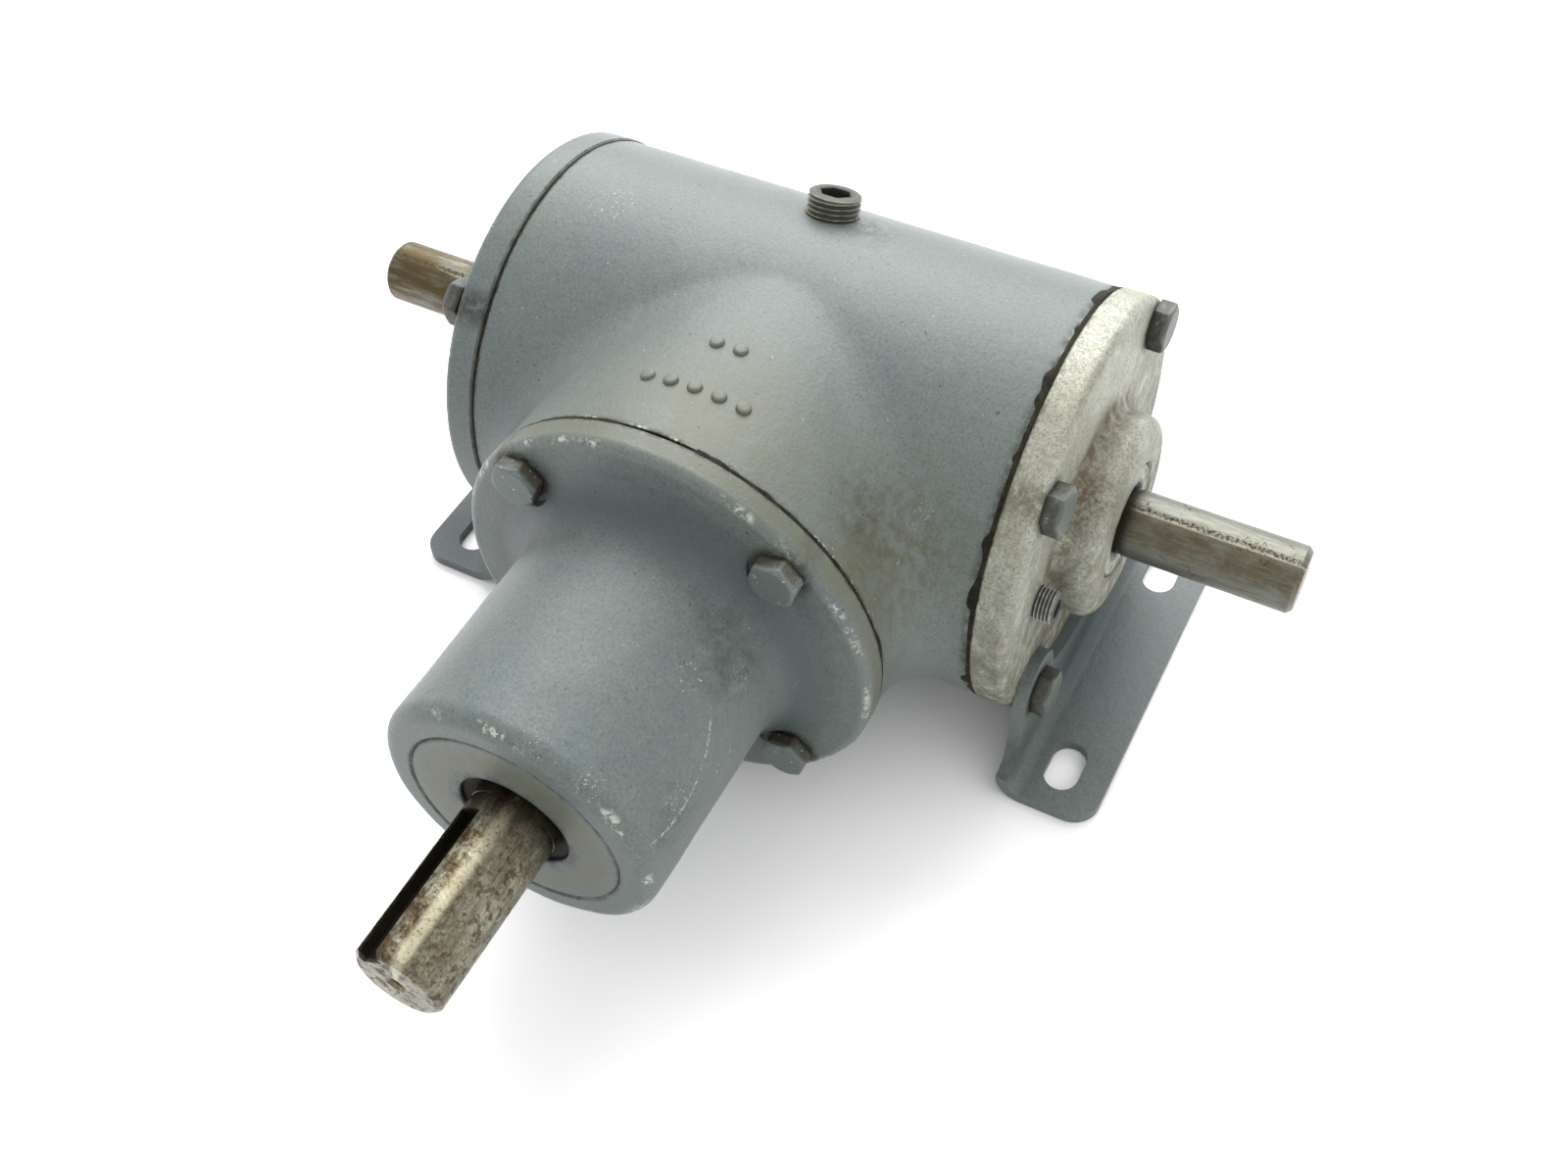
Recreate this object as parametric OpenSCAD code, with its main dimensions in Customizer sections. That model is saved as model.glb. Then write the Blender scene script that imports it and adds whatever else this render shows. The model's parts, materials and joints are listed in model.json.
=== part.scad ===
// Right angle bevel gearbox, foot mounted.
// +X runs along the pinion shaft towards its free end, +Y along the cross shaft
// towards the bare cover, and +Z is up. The origin is the centre of the four foot
// slots, on the plane that the feet stand on, straight below the crossing of the
// shafts. Left and right are as seen from the pinion shaft's free end.
// All lengths are in millimetres.

/* [Shafts] */
// Height of both shaft axes above the foot plane
axis_h = 70; // [66:1:80]
// Diameter of the cross shaft at its ends, bearings and seals
cross_d = 20; // [18:1:20]
// Distance from the crossing to each end of the cross shaft
cross_reach = 154; // [135:1:180]
// Diameter of the pinion shaft at its free end, bearings and seal
pinion_d = 25; // [23:1:25]
// Distance from the crossing to the free end of the pinion shaft
pinion_reach = 213.5; // [195:0.5:240]

/* [Housing] */
// Outer radius of the drum
drum_r = 62; // [61:0.5:64]
// Distance from the crossing to each machined face of the drum and the branch
face_at = 80; // [80:1:84]
// Thickness of the cast walls of the drum
wall = 8; // [6:0.5:9]
// Outer radius of the branch at its machined face
branch_r = 63.5; // [62.5:0.5:64]
// Thickness of each gasket
gasket_t = 1; // [0.5:0.25:1.5]

/* [End covers] */
// Outer radius of the end covers
cover_r = 62.5; // [61:0.5:64]
// Thickness of the plate of an end cover
cover_t = 10; // [8:0.5:11]
// How far the hub of an end cover stands out of its plate
hub_stands = 12; // [11:0.5:18]
// Radius of the hub of an end cover
hub_r = 30.5; // [27:0.5:31]

/* [Pinion housing] */
// Outer radius of the flange
flange_r = 64; // [62.5:0.5:65]
// Thickness of the flange
flange_t = 8.5; // [7:0.5:10]
// Outer radius of the tube
quill_r = 40.6; // [39:0.2:42]
// Distance from the crossing to the end face of the tube
quill_end = 163.5; // [163.5:0.5:180]
// Radius of the concave blend between the flange and the tube
quill_blend = 13; // [8:1:14]

/* [Feet] */
// Thickness of the bent plate
plate_t = 3.5; // [2.5:0.5:4]
// Half the length of a foot, along the pinion shaft's direction
foot_half = 58.7; // [56:0.1:62]
// Distance from the crossing plane to the outer edge of a foot
foot_reach = 121.5; // [118:0.5:126]
// Distance between the slots of one foot
slot_pitch_x = 85; // [80:1:88]
// Distance between the slots of the two feet
slot_pitch_y = 215; // [213:1:217]
// Width of a slot
slot_w = 10.5; // [9:0.5:11]
// Length of a slot, end to end
slot_len = 18; // [14:1:20]

/* [Bolts and plugs] */
// Diameter of the circle of bolts on the covers and the flange
bolt_circle_d = 110; // [109:0.5:111]
// Diameter of the bolts
bolt_d = 8; // [7:0.5:8]
// Width across the flats of the bolt heads
bolt_af = 13; // [12:0.5:13]
// Height of the bolt heads
bolt_head_h = 5.3; // [4.5:0.1:6]
// Diameter of the fill plug in the top of the drum
fill_d = 16; // [14:0.5:17]
// How far the fill plug stands out of the drum
fill_stands = 6.3; // [4:0.1:8]
// Lean of the fill plug from straight up, away from the pinion shaft
fill_lean = 22; // [0:1:30]
// Diameter of the oil level plug in the right cover
level_d = 10; // [8:0.5:12]
// How far the level plug stands out of the right cover
level_stands = 6; // [4:0.5:10]

/* [Bevel gears] */
// Module of the teeth at the large end
gear_module = 4; // [3.9:0.05:4]
// Teeth on each of the two gears
teeth = 20; // [20:4:20]
// Length of the teeth along the pitch cone
face_w = 18; // [14:1:18]
// Thinning of each tooth for backlash, along the pitch circle
tooth_thinning = 0.16; // [0.1:0.02:0.4]

/* [Hidden] */

$fn = 96;
over = 1;                            // how far a cutting shape passes a face

paint = [0.50, 0.54, 0.56];
bare_alloy = [0.70, 0.69, 0.63];
steel = [0.62, 0.60, 0.56];
dark_steel = [0.30, 0.29, 0.27];
bearing_steel = [0.72, 0.73, 0.75];
brass_cage = [0.72, 0.60, 0.32];
rubber = [0.10, 0.10, 0.10];
gasket_dark = [0.13, 0.12, 0.10];

cross_r = cross_d / 2;
pinion_r = pinion_d / 2;
bolt_r = bolt_d / 2;
bolt_at = bolt_circle_d / 2 * cos(45);
bolt_hole_r = bolt_r + 0.5;
thread_gap = 0.03;                   // a screw is this much smaller than its hole
opening_r = 46;                      // machined openings of the housing
register_gap = 0.05;                 // between an opening and its spigot
machined_ring = 22;                  // depth of the thick ring behind a face
cover_at = face_at + gasket_t;       // inner face of a cover's or flange's plate
cover_face = cover_at + cover_t;
hub_end = cover_face + hub_stands;

// Bearings: bore radius, outer radius, width, ball circle radius, ball radius,
// number of balls. The small pair carries the cross shaft, the large pair the
// pinion shaft.
small = [10, 23.5, 14, 16.75, 3.97, 8];
large = [12.5, 31, 17, 21.75, 5.75, 7];
race_gap = 0.04;                     // between a ball and its races
land = 0.72;                         // depth of the race's flank, in ball radii
pocket_gap = 0.12;
cage_t = 2.4;
cage_rim = 1;
cover_bearing_at = cover_at - small[2];
rear_bearing_at = 70;
front_bearing_at = 137.5;
rear_bearing_end = rear_bearing_at + large[2];
front_bearing_end = front_bearing_at + large[2];
retaining_t = 2;
retaining_sunk = 1.5;                // depth of the ring's groove in the tube
retaining_stands = 3;                // how far the ring reaches into the tube

// Shaft seals: outer radius and width
cross_seal = [17.5, 7];
pinion_seal = [31, 7];
seal_back_wall = 1.6;                // wall of the cross shaft's seal behind its face
seal_face_t = 1.8;                   // thickness of that face
seal_face_gap = 1.2;                 // between that face and the shaft
lip_gap = 0.05;                      // between a lip and its shaft
seal_recess = 0.5;
seal_hole_r = 16;                    // hole in the pinion seal's metal case
case_t = 1.4;

// Bevel gears. Both pitch cones have their tip at the crossing of the shafts.
pitch_r = gear_module * teeth / 2;
cone_dist = pitch_r * sqrt(2);
addendum = gear_module;
dedendum = 1.25 * gear_module;
root_angle = 45 - atan(dedendum / cone_dist);
front_sum = 2 * pitch_r * (cone_dist - face_w) / cone_dist;
gear_front = front_sum / (1 + tan(root_angle));
gear_back = pitch_r + 4;
gear_hub_r = 22;
pressure_angle = 20;
base_r = cone_dist * cos(pressure_angle);
cross_seat_r = 13;
collar_r = 17;
collar_w = 8;
gear_hub_end = 55;
pinion_hub_end = rear_bearing_at;
key_w = 8;
key_h = 7;
key_sunk = 4;                        // depth of the keyway in a shaft
key_from = 34;
key_len = 18;
shoulder_r = 15.5;
shaft_chamfer = 1.3;
pinion_inner_end = 24;
circlip_t = 1.5;
circlip_sunk = 0.8;
circlip_stands = 3.2;
spacer_wall = 3.4;
// Each free end starts at a shallow groove just outside its hub or tube
relief_from = 0.3;
relief_to = 1.3;
relief_sunk = 0.25;
seam_turn = 30;                      // turns the cross shaft's seam off its keyways

// Keyways at the free ends: width, depth, length
cross_keyway = [6, 3.5, 32];
pinion_keyway = [8, 4, 44];
pinion_keyway_turn = 55;             // lift of the pinion's keyway above level

// Feet
bend_in = 5;
bend_out = bend_in + plate_t;
ear_r = 12;
leg_half = 52;
flare_r = foot_half - leg_half;
arch_r = 48;
foot_corner = 8.5;

fill_af = 8;
fill_socket = 6;
fill_inside = 53;                    // radius at which the plug's inner end lies
fill_hole_from = 51;
fill_off_centre = 3;                 // towards the left cover
level_af = 5;
level_socket = 5;
level_x = 39;

// Bolts: how deep their shanks reach below the heads, and the turn of each
// group's heads
bolt_reach = 25;
foot_bolt_reach = bolt_reach + plate_t;
flange_turn = 12;
left_turn = 8;
right_turn = 20;
left_foot_turn = 15;
right_foot_turn = 5;
spotface_r = bolt_af / 2 + 2.6;
UPPER = [[1, -1], [-1, -1]];
LOWER = [[1, 1], [-1, 1]];

// ---- Helpers -----------------------------------------------------------------

// Carries children from the crossing of the shafts to the part's own frame
module at_axis() { translate([0, 0, axis_h]) children(); }
// Turns a shape drawn along +Z to run along +X
module along_x() { at_axis() rotate([0, 90, 0]) children(); }
// Turns a shape drawn along +Z to run along +Y on the right, -Y on the left
module along_y(side = 1) {
    at_axis() mirror([0, side > 0 ? 0 : 1, 0]) rotate([-90, 0, 0]) children();
}
module rod(r, from, to) { translate([0, 0, from]) cylinder(r = r, h = to - from); }
module tube(r_out, r_in, from, to) {
    difference() {
        rod(r_out, from, to);
        rod(r_in, from - over, to + over);
    }
}
// Turns a closed outline of [radius, height] points
module turned(points) { rotate_extrude() polygon(points); }
// Points of an arc, its end points included
function arc(cx, cy, r, from, to, steps = 8) =
    [for (i = [0 : steps]) let (a = from + (to - from) * i / steps)
        [cx + r * cos(a), cy + r * sin(a)]];
// Four places at 45 degrees on the bolt circle
module at_bolts(corners = [[1, 1], [1, -1], [-1, 1], [-1, -1]]) {
    for (c = corners) translate([c[0] * bolt_at, c[1] * bolt_at, 0]) children();
}
module hex(af, h) { cylinder(r = af / 2 / cos(30), h = h, $fn = 6); }
module keyway_cut(r, w, deep, from, to) {
    translate([r - deep, -w / 2, from]) cube([deep + over, w, to - from]);
}

// ---- Housing -----------------------------------------------------------------

module housing() {
    inner_r = drum_r - wall;
    ring_at = face_at - machined_ring;
    color(paint) difference() {
        union() {
            along_y() rod(drum_r, -face_at, face_at);
            along_x() cylinder(r1 = branch_r - 3, r2 = branch_r, h = face_at);
        }
        along_y() rod(inner_r, -ring_at, ring_at);
        along_y() rod(opening_r, -face_at - over, face_at + over);
        along_x() rod(inner_r - over, 0, ring_at);
        along_x() rod(opening_r, 0, face_at + over);
        for (side = [-1, 1])
            along_y(side) at_bolts() rod(bolt_r, ring_at + 2, face_at + over);
        along_x() at_bolts() rod(bolt_r, ring_at + 2, face_at + over);
        fill_axis() rod(fill_d / 2, fill_hole_from, drum_r + over);
    }
}

module gasket(r) {
    difference() {
        tube(r, opening_r, face_at, cover_at);
        at_bolts() rod(bolt_hole_r, face_at - over, cover_at + over);
    }
}
module left_cover_gasket() { color(gasket_dark) along_y(-1) gasket(cover_r - 0.4); }
module right_cover_gasket() { color(gasket_dark) along_y(1) gasket(cover_r - 0.4); }
module pinion_flange_gasket() { color(gasket_dark) along_x() gasket(branch_r - 0.4); }

// ---- End covers --------------------------------------------------------------

module end_cover() {
    rim_round = 2.6;
    nose_round = 5;
    hub_blend = 3.4;
    spigot_r = opening_r - register_gap;
    boss_r = small[1] + 7;
    in_round = cover_face - rim_round;
    difference() {
        turned(concat(
            [[small[1], cover_bearing_at], [boss_r, cover_bearing_at],
             [boss_r, cover_at - 4], [spigot_r - 5, cover_at - 4],
             [spigot_r - 5, cover_at - 6], [spigot_r, cover_at - 6],
             [spigot_r, cover_at], [cover_r, cover_at]],
            arc(cover_r - rim_round, in_round, rim_round, 0, 90),
            arc(hub_r + hub_blend, cover_face + hub_blend, hub_blend, 270, 180),
            arc(hub_r - nose_round, hub_end - nose_round, nose_round, 0, 90),
            [[cross_seal[0], hub_end],
             [cross_seal[0], hub_end - seal_recess - cross_seal[1]],
             [small[1] - 4, hub_end - seal_recess - cross_seal[1]],
             [small[1] - 4, cover_at], [small[1], cover_at]]));
        at_bolts() rod(bolt_hole_r, cover_at - over, cover_face + over);
    }
}
module left_end_cover() { color(paint) along_y(-1) end_cover(); }
module right_end_cover() {
    color(bare_alloy) difference() {
        along_y(1) end_cover();
        level_axis() rod(level_d / 2, cover_at - over, cover_face + over);
    }
}

// ---- Pinion housing ----------------------------------------------------------

module pinion_housing() {
    edge_round = 3;
    end_round = 5;
    flange_face = cover_at + flange_t;
    rim_at = flange_face - edge_round;
    shoulder = large[1] - 4;
    spigot_r = opening_r - register_gap;
    color(paint) along_x() difference() {
        turned(concat(
            [[large[1], rear_bearing_at - 2], [spigot_r, rear_bearing_at - 2],
             [spigot_r, cover_at], [flange_r, cover_at]],
            arc(flange_r - edge_round, rim_at, edge_round, 0, 90),
            arc(quill_r + quill_blend, flange_face + quill_blend, quill_blend, 270, 180),
            arc(quill_r - end_round, quill_end - end_round, end_round, 0, 90),
            [[large[1], quill_end], [large[1], front_bearing_at],
             [shoulder, front_bearing_at], [shoulder, rear_bearing_end],
             [large[1], rear_bearing_end]]));
        rod(large[1] + retaining_sunk, front_bearing_end,
            front_bearing_end + retaining_t);
        at_bolts() rod(bolt_hole_r, cover_at - over, flange_face + over);
        at_bolts() rod(spotface_r, flange_face, flange_face + quill_blend + over);
    }
}

module bearing_retaining_ring() {
    gap_half = 6;
    color(dark_steel) along_x() difference() {
        tube(large[1] + retaining_sunk - 0.1, large[1] - retaining_stands,
            front_bearing_end, front_bearing_end + retaining_t);
        translate([-gap_half, 0, front_bearing_end - over])
            cube([2 * gap_half, large[1] * 2, retaining_t + 2 * over]);
    }
}

// ---- Shaft seals -------------------------------------------------------------

// Pressed metal case of the pinion seal, flush with the end of the tube
module pinion_seal_case() {
    outer = pinion_seal[0] - 0.02;
    back = quill_end - pinion_seal[1];
    color(paint) along_x() turned([
        [seal_hole_r, quill_end - case_t], [outer - case_t, quill_end - case_t],
        [outer - case_t, back], [outer, back], [outer, quill_end],
        [seal_hole_r, quill_end]]);
}
// Rubber lip that reaches down to the shaft from a band behind the case's face
module pinion_seal_lip() {
    band_r = pinion_seal[0] - case_t - 0.1;
    band_t = 1.5;
    front = quill_end - case_t;
    tip_at = front - 3.4;
    tip_w = 1;
    tip_t = 2.4;
    color(rubber) along_x() turned([
        [pinion_r + lip_gap, tip_at], [pinion_r + tip_t, tip_at - tip_w],
        [pinion_r + tip_t + band_t / 2, front - band_t], [band_r, front - band_t],
        [band_r, front], [pinion_r + case_t, front]]);
}
module cross_seal_ring() {
    face = hub_end - seal_recess;
    outer = cross_seal[0] - 0.02;
    back = face - cross_seal[1];
    tip_at = face - 4.8;
    tip_w = 1;
    tip_t = 2;
    turned([
        [cross_r + lip_gap, tip_at], [cross_r + tip_t, tip_at - tip_w],
        [cross_r + tip_t + 0.6, face - seal_face_t],
        [outer - seal_back_wall, face - seal_face_t], [outer - seal_back_wall, back],
        [outer, back], [outer, face], [cross_r + seal_face_gap, face]]);
}
module left_shaft_seal() { color(rubber) along_y(-1) cross_seal_ring(); }
module right_shaft_seal() { color(rubber) along_y(1) cross_seal_ring(); }

// ---- Ball bearings, each drawn from its inner face along +Z -------------------

module race_cut(b) {
    rotate_extrude() translate([b[3], b[2] / 2]) circle(r = b[4] + race_gap);
}
module outer_ring(b) {
    difference() {
        tube(b[1], b[3] + b[4] * land, 0, b[2]);
        race_cut(b);
    }
}
module inner_ring(b) {
    difference() {
        tube(b[3] - b[4] * land, b[0], 0, b[2]);
        race_cut(b);
    }
}
module at_balls(b) {
    for (i = [0 : b[5] - 1]) rotate(i * 360 / b[5])
        translate([b[3], 0, b[2] / 2]) children();
}
module ball_set(b) { at_balls(b) sphere(r = b[4], $fn = 32); }
module ball_cage(b) {
    half_w = b[4] + cage_rim;
    difference() {
        tube(b[3] + cage_t / 2, b[3] - cage_t / 2, b[2] / 2 - half_w, b[2] / 2 + half_w);
        at_balls(b) rotate([0, 90, 0]) cylinder(r = b[4] + pocket_gap, h = b[4],
            center = true);
    }
}
module cover_bearing(side) { along_y(side) translate([0, 0, cover_bearing_at]) children(); }
module front_bearing() { along_x() translate([0, 0, front_bearing_at]) children(); }
module rear_bearing() { along_x() translate([0, 0, rear_bearing_at]) children(); }

module left_bearing_outer_ring() { color(bearing_steel) cover_bearing(-1) outer_ring(small); }
module right_bearing_outer_ring() { color(bearing_steel) cover_bearing(1) outer_ring(small); }
module pinion_front_outer_ring() { color(bearing_steel) front_bearing() outer_ring(large); }
module pinion_rear_outer_ring() { color(bearing_steel) rear_bearing() outer_ring(large); }
module left_bearing_inner_ring() { color(bearing_steel) cover_bearing(-1) inner_ring(small); }
module right_bearing_inner_ring() { color(bearing_steel) cover_bearing(1) inner_ring(small); }
module pinion_front_inner_ring() { color(bearing_steel) front_bearing() inner_ring(large); }
module pinion_rear_inner_ring() { color(bearing_steel) rear_bearing() inner_ring(large); }
module left_bearing_balls() { color(bearing_steel) cover_bearing(-1) ball_set(small); }
module right_bearing_balls() { color(bearing_steel) cover_bearing(1) ball_set(small); }
module pinion_front_balls() { color(bearing_steel) front_bearing() ball_set(large); }
module pinion_rear_balls() { color(bearing_steel) rear_bearing() ball_set(large); }
module left_bearing_cage() { color(brass_cage) cover_bearing(-1) ball_cage(small); }
module right_bearing_cage() { color(brass_cage) cover_bearing(1) ball_cage(small); }
module pinion_front_cage() { color(brass_cage) front_bearing() ball_cage(large); }
module pinion_rear_cage() { color(brass_cage) rear_bearing() ball_cage(large); }

// ---- Bevel gears -------------------------------------------------------------

function involute(a) = tan(a) * 180 / PI - a;
// Half of a tooth's angle at radius rv of the equivalent spur gear
function half_tooth(rv) =
    (PI * gear_module / 2 - tooth_thinning) / 2 / cone_dist * 180 / PI
    + involute(pressure_angle)
    - (rv > base_r ? involute(acos(base_r / rv)) : 0);
// Outline of the gear in the plane of its back, one tooth after another. The
// equivalent spur gear lies on the back cone, so its angles grow by the pitch
// cone's slope and its radii become angles of the cone.
function gear_outline(phase, steps = 5) =
    let (low = cone_dist - dedendum, high = cone_dist + addendum,
         radii = concat([low], [for (i = [0 : steps])
             base_r + (high - base_r) * i / steps]))
    [for (t = [0 : teeth - 1], flank = [-1, 1])
        let (order = flank < 0 ? [0 : steps + 1] : [steps + 1 : -1 : 0])
        for (k = order)
            let (rv = radii[k], r = gear_back * tan(45 + atan((rv - cone_dist) / cone_dist)),
                 a = (t + phase) * 360 / teeth + flank * half_tooth(rv) * sqrt(2))
            [r * cos(a), r * sin(a)]];
// One gear with its teeth pointing at the crossing, drawn along +Z
module bevel(phase, hub_to, bore_r) {
    tooth_end = gear_front - 6;
    difference() {
        union() {
            intersection() {
                translate([0, 0, gear_back]) mirror([0, 0, 1])
                    linear_extrude(height = gear_back - tooth_end,
                        scale = tooth_end / gear_back)
                        polygon(gear_outline(phase));
                turned([[0, gear_front], [front_sum - gear_front, gear_front],
                    [front_sum - tooth_end, tooth_end],
                    [2 * pitch_r - gear_back + 10, gear_back - 10],
                    [2 * pitch_r - gear_back, gear_back], [0, gear_back]]);
            }
            rod(gear_hub_r, gear_back - over, hub_to);
        }
        rod(bore_r, gear_front - over, hub_to + over);
        keyway_cut(bore_r + key_h - key_sunk, key_w, key_h - key_sunk + over,
            gear_front - over, hub_to + over);
    }
}
// The key of each gear lies on the local +X side
module shaft_key(r) {
    translate([r - key_sunk, -key_w / 2, key_from]) cube([key_h, key_w, key_len]);
}

module bevel_gear() { color(dark_steel) along_y() bevel(0.5, gear_hub_end, cross_seat_r); }
module gear_key() { color(steel) along_y() shaft_key(cross_seat_r); }
module gear_spacer() {
    color(steel) along_y() tube(cross_seat_r + spacer_wall, cross_seat_r, gear_hub_end,
        cover_bearing_at);
}
module bevel_pinion() {
    color(dark_steel) along_x() bevel(0, pinion_hub_end, pinion_r);
}
module pinion_key() { color(steel) along_x() shaft_key(pinion_r); }
module pinion_retaining_ring() {
    gap_half = 4;
    at = gear_front - circlip_t;
    color(dark_steel) along_x() difference() {
        tube(pinion_r + circlip_stands, pinion_r - circlip_sunk, at, gear_front);
        translate([-gap_half, 0, at - over])
            cube([2 * gap_half, pinion_r * 2, circlip_t + 2 * over]);
    }
}

// ---- Shafts ------------------------------------------------------------------

// Outline of a free end with its groove and chamfer, from the hub outwards
function free_end(r, hub_at, end_at) =
    [[r, hub_at + relief_from], [r - relief_sunk, hub_at + relief_from],
     [r - relief_sunk, hub_at + relief_to], [r, hub_at + relief_to],
     [r, end_at - shaft_chamfer], [r - shaft_chamfer, end_at]];
// An outline mirrored across height 0, in the reverse order
function mirrored(points) =
    [for (i = [len(points) - 1 : -1 : 0]) [points[i][0], -points[i][1]]];

module cross_shaft() {
    seat = cover_bearing_at;
    collar_from = gear_front - collar_w;
    end_cut = cross_reach - cross_keyway[2];
    right_end = free_end(cross_r, hub_end, cross_reach);
    color(steel) along_y() difference() {
        rotate(seam_turn) turned(concat(
            [[0, -cross_reach]], mirrored(right_end),
            [[cross_r, -seat], [cross_seat_r, -seat],
             [cross_seat_r, collar_from], [collar_r, collar_from],
             [collar_r, gear_front], [cross_seat_r, gear_front],
             [cross_seat_r, seat], [cross_r, seat]],
            right_end, [[0, cross_reach]]));
        keyway_cut(cross_seat_r, key_w, key_sunk, key_from, key_from + key_len);
        mirror([1, 0, 0]) {
            keyway_cut(cross_r, cross_keyway[0], cross_keyway[1], end_cut,
                cross_reach + over);
            keyway_cut(cross_r, cross_keyway[0], cross_keyway[1],
                -cross_reach - over, -end_cut);
        }
    }
}

module pinion_shaft() {
    c = shaft_chamfer;
    drill_r = 3;
    groove_r = pinion_r - circlip_sunk;
    color(steel) along_x() difference() {
        turned(concat(
            [[0, pinion_inner_end], [pinion_r - c, pinion_inner_end],
             [pinion_r, pinion_inner_end + c],
             [pinion_r, gear_front - circlip_t], [groove_r, gear_front - circlip_t],
             [groove_r, gear_front], [pinion_r, gear_front],
             [pinion_r, rear_bearing_end], [shoulder_r, rear_bearing_end],
             [shoulder_r, front_bearing_at], [pinion_r, front_bearing_at]],
            free_end(pinion_r, quill_end, pinion_reach),
            [[drill_r, pinion_reach], [0, pinion_reach - drill_r]]));
        keyway_cut(pinion_r, key_w, key_sunk, key_from, key_from + key_len);
        rotate(270 - pinion_keyway_turn)
            keyway_cut(pinion_r, pinion_keyway[0], pinion_keyway[1],
                pinion_reach - pinion_keyway[2], pinion_reach + over);
    }
}

// ---- Bolts and plugs ---------------------------------------------------------

module bolt(head_at, reach, turn) {
    rotate(turn) translate([0, 0, head_at]) hex(bolt_af, bolt_head_h);
    rod(bolt_r - thread_gap, head_at - reach, head_at + 1);
}
module pinion_flange_bolts() {
    color(paint) along_x() at_bolts() bolt(cover_at + flange_t, bolt_reach, flange_turn);
}
module left_cover_bolts() {
    color(dark_steel) along_y(-1) at_bolts(UPPER) bolt(cover_face, bolt_reach, left_turn);
}
module right_cover_bolts() {
    color(dark_steel) along_y(1) at_bolts(UPPER) bolt(cover_face, bolt_reach, right_turn);
}
module left_foot_bolts() {
    color(dark_steel) along_y(-1) at_bolts(LOWER)
        bolt(cover_face + plate_t, foot_bolt_reach, left_foot_turn);
}
module right_foot_bolts() {
    color(dark_steel) along_y(1) at_bolts(LOWER)
        bolt(cover_face + plate_t, foot_bolt_reach, right_foot_turn);
}

module plug(r, from, to, af, deep) {
    difference() {
        rod(r - thread_gap, from, to);
        translate([0, 0, to - deep]) hex(af, deep + over);
    }
}
module fill_axis() {
    at_axis() rotate([0, -fill_lean, 0]) translate([0, -fill_off_centre, 0]) children();
}
module fill_plug() {
    color(dark_steel) fill_axis()
        plug(fill_d / 2, fill_inside, drum_r + fill_stands, fill_af, fill_socket);
}
module level_axis() { along_y(1) translate([level_x, 0, 0]) children(); }
module level_plug() {
    color(dark_steel) level_axis()
        plug(level_d / 2, cover_at, cover_face + level_stands, level_af, level_socket);
}

// ---- Feet --------------------------------------------------------------------

// Outline of the upright leg, seen along the cross shaft, from the foot plane up
module leg_outline() {
    ear_z = axis_h - bolt_at;
    difference() {
        polygon(concat(
            arc(-foot_half, bend_out + flare_r, flare_r, 270, 360),
            [[-leg_half, ear_z], [leg_half, ear_z]],
            arc(foot_half, bend_out + flare_r, flare_r, 180, 270)));
        translate([0, axis_h]) circle(r = arch_r);
    }
    for (s = [-1, 1]) translate([s * bolt_at, ear_z]) circle(r = ear_r);
}
module foot_bracket() {
    bend_at = cover_face + bend_out;
    difference() {
        union() {
            translate([0, cover_face + plate_t, 0]) rotate([90, 0, 0])
                linear_extrude(height = plate_t) leg_outline();
            translate([-foot_half, bend_at, bend_out]) rotate([90, 0, 90])
                linear_extrude(height = 2 * foot_half) difference() {
                    circle(r = bend_out);
                    circle(r = bend_in);
                    translate([0, -bend_out - over]) square(2 * bend_out + 2 * over);
                    translate([-bend_out - over, 0]) square(2 * bend_out + 2 * over);
                }
            linear_extrude(height = plate_t) {
                translate([-foot_half, bend_at])
                    square([2 * foot_half, foot_reach - foot_corner - bend_at]);
                translate([-foot_half + foot_corner, bend_at])
                    square([2 * (foot_half - foot_corner), foot_reach - bend_at]);
                for (s = [-1, 1])
                    translate([s * (foot_half - foot_corner), foot_reach - foot_corner])
                        circle(r = foot_corner);
            }
        }
        for (s = [-1, 1]) {
            translate([s * slot_pitch_x / 2, slot_pitch_y / 2, -over]) slot_cut();
            translate([s * bolt_at, cover_face - over, axis_h - bolt_at])
                rotate([-90, 0, 0]) cylinder(r = bolt_hole_r, h = plate_t + 2 * over);
        }
    }
}
module slot_cut() {
    h = plate_t + 2 * over;
    ends = (slot_len - slot_w) / 2;
    for (s = [-1, 1]) translate([s * ends, 0, 0]) cylinder(r = slot_w / 2, h = h);
    translate([-ends, -slot_w / 2, 0]) cube([2 * ends, slot_w, h]);
}
module right_foot_bracket() { color(paint) foot_bracket(); }
module left_foot_bracket() { color(paint) mirror([0, 1, 0]) foot_bracket(); }

// ---- Nodes -------------------------------------------------------------------

housing();
left_end_cover();
right_end_cover();
left_cover_gasket();
right_cover_gasket();
pinion_housing();
pinion_flange_gasket();
pinion_seal_case();
pinion_seal_lip();
left_shaft_seal();
right_shaft_seal();
left_bearing_outer_ring();
right_bearing_outer_ring();
pinion_front_outer_ring();
pinion_rear_outer_ring();
bearing_retaining_ring();
fill_plug();
level_plug();
left_foot_bracket();
right_foot_bracket();
pinion_flange_bolts();
left_cover_bolts();
right_cover_bolts();
left_foot_bolts();
right_foot_bolts();
cross_shaft();
bevel_gear();
gear_key();
gear_spacer();
left_bearing_inner_ring();
right_bearing_inner_ring();
pinion_shaft();
bevel_pinion();
pinion_key();
pinion_retaining_ring();
pinion_front_inner_ring();
pinion_rear_inner_ring();
left_bearing_balls();
left_bearing_cage();
right_bearing_balls();
right_bearing_cage();
pinion_front_balls();
pinion_front_cage();
pinion_rear_balls();
pinion_rear_cage();
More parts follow.
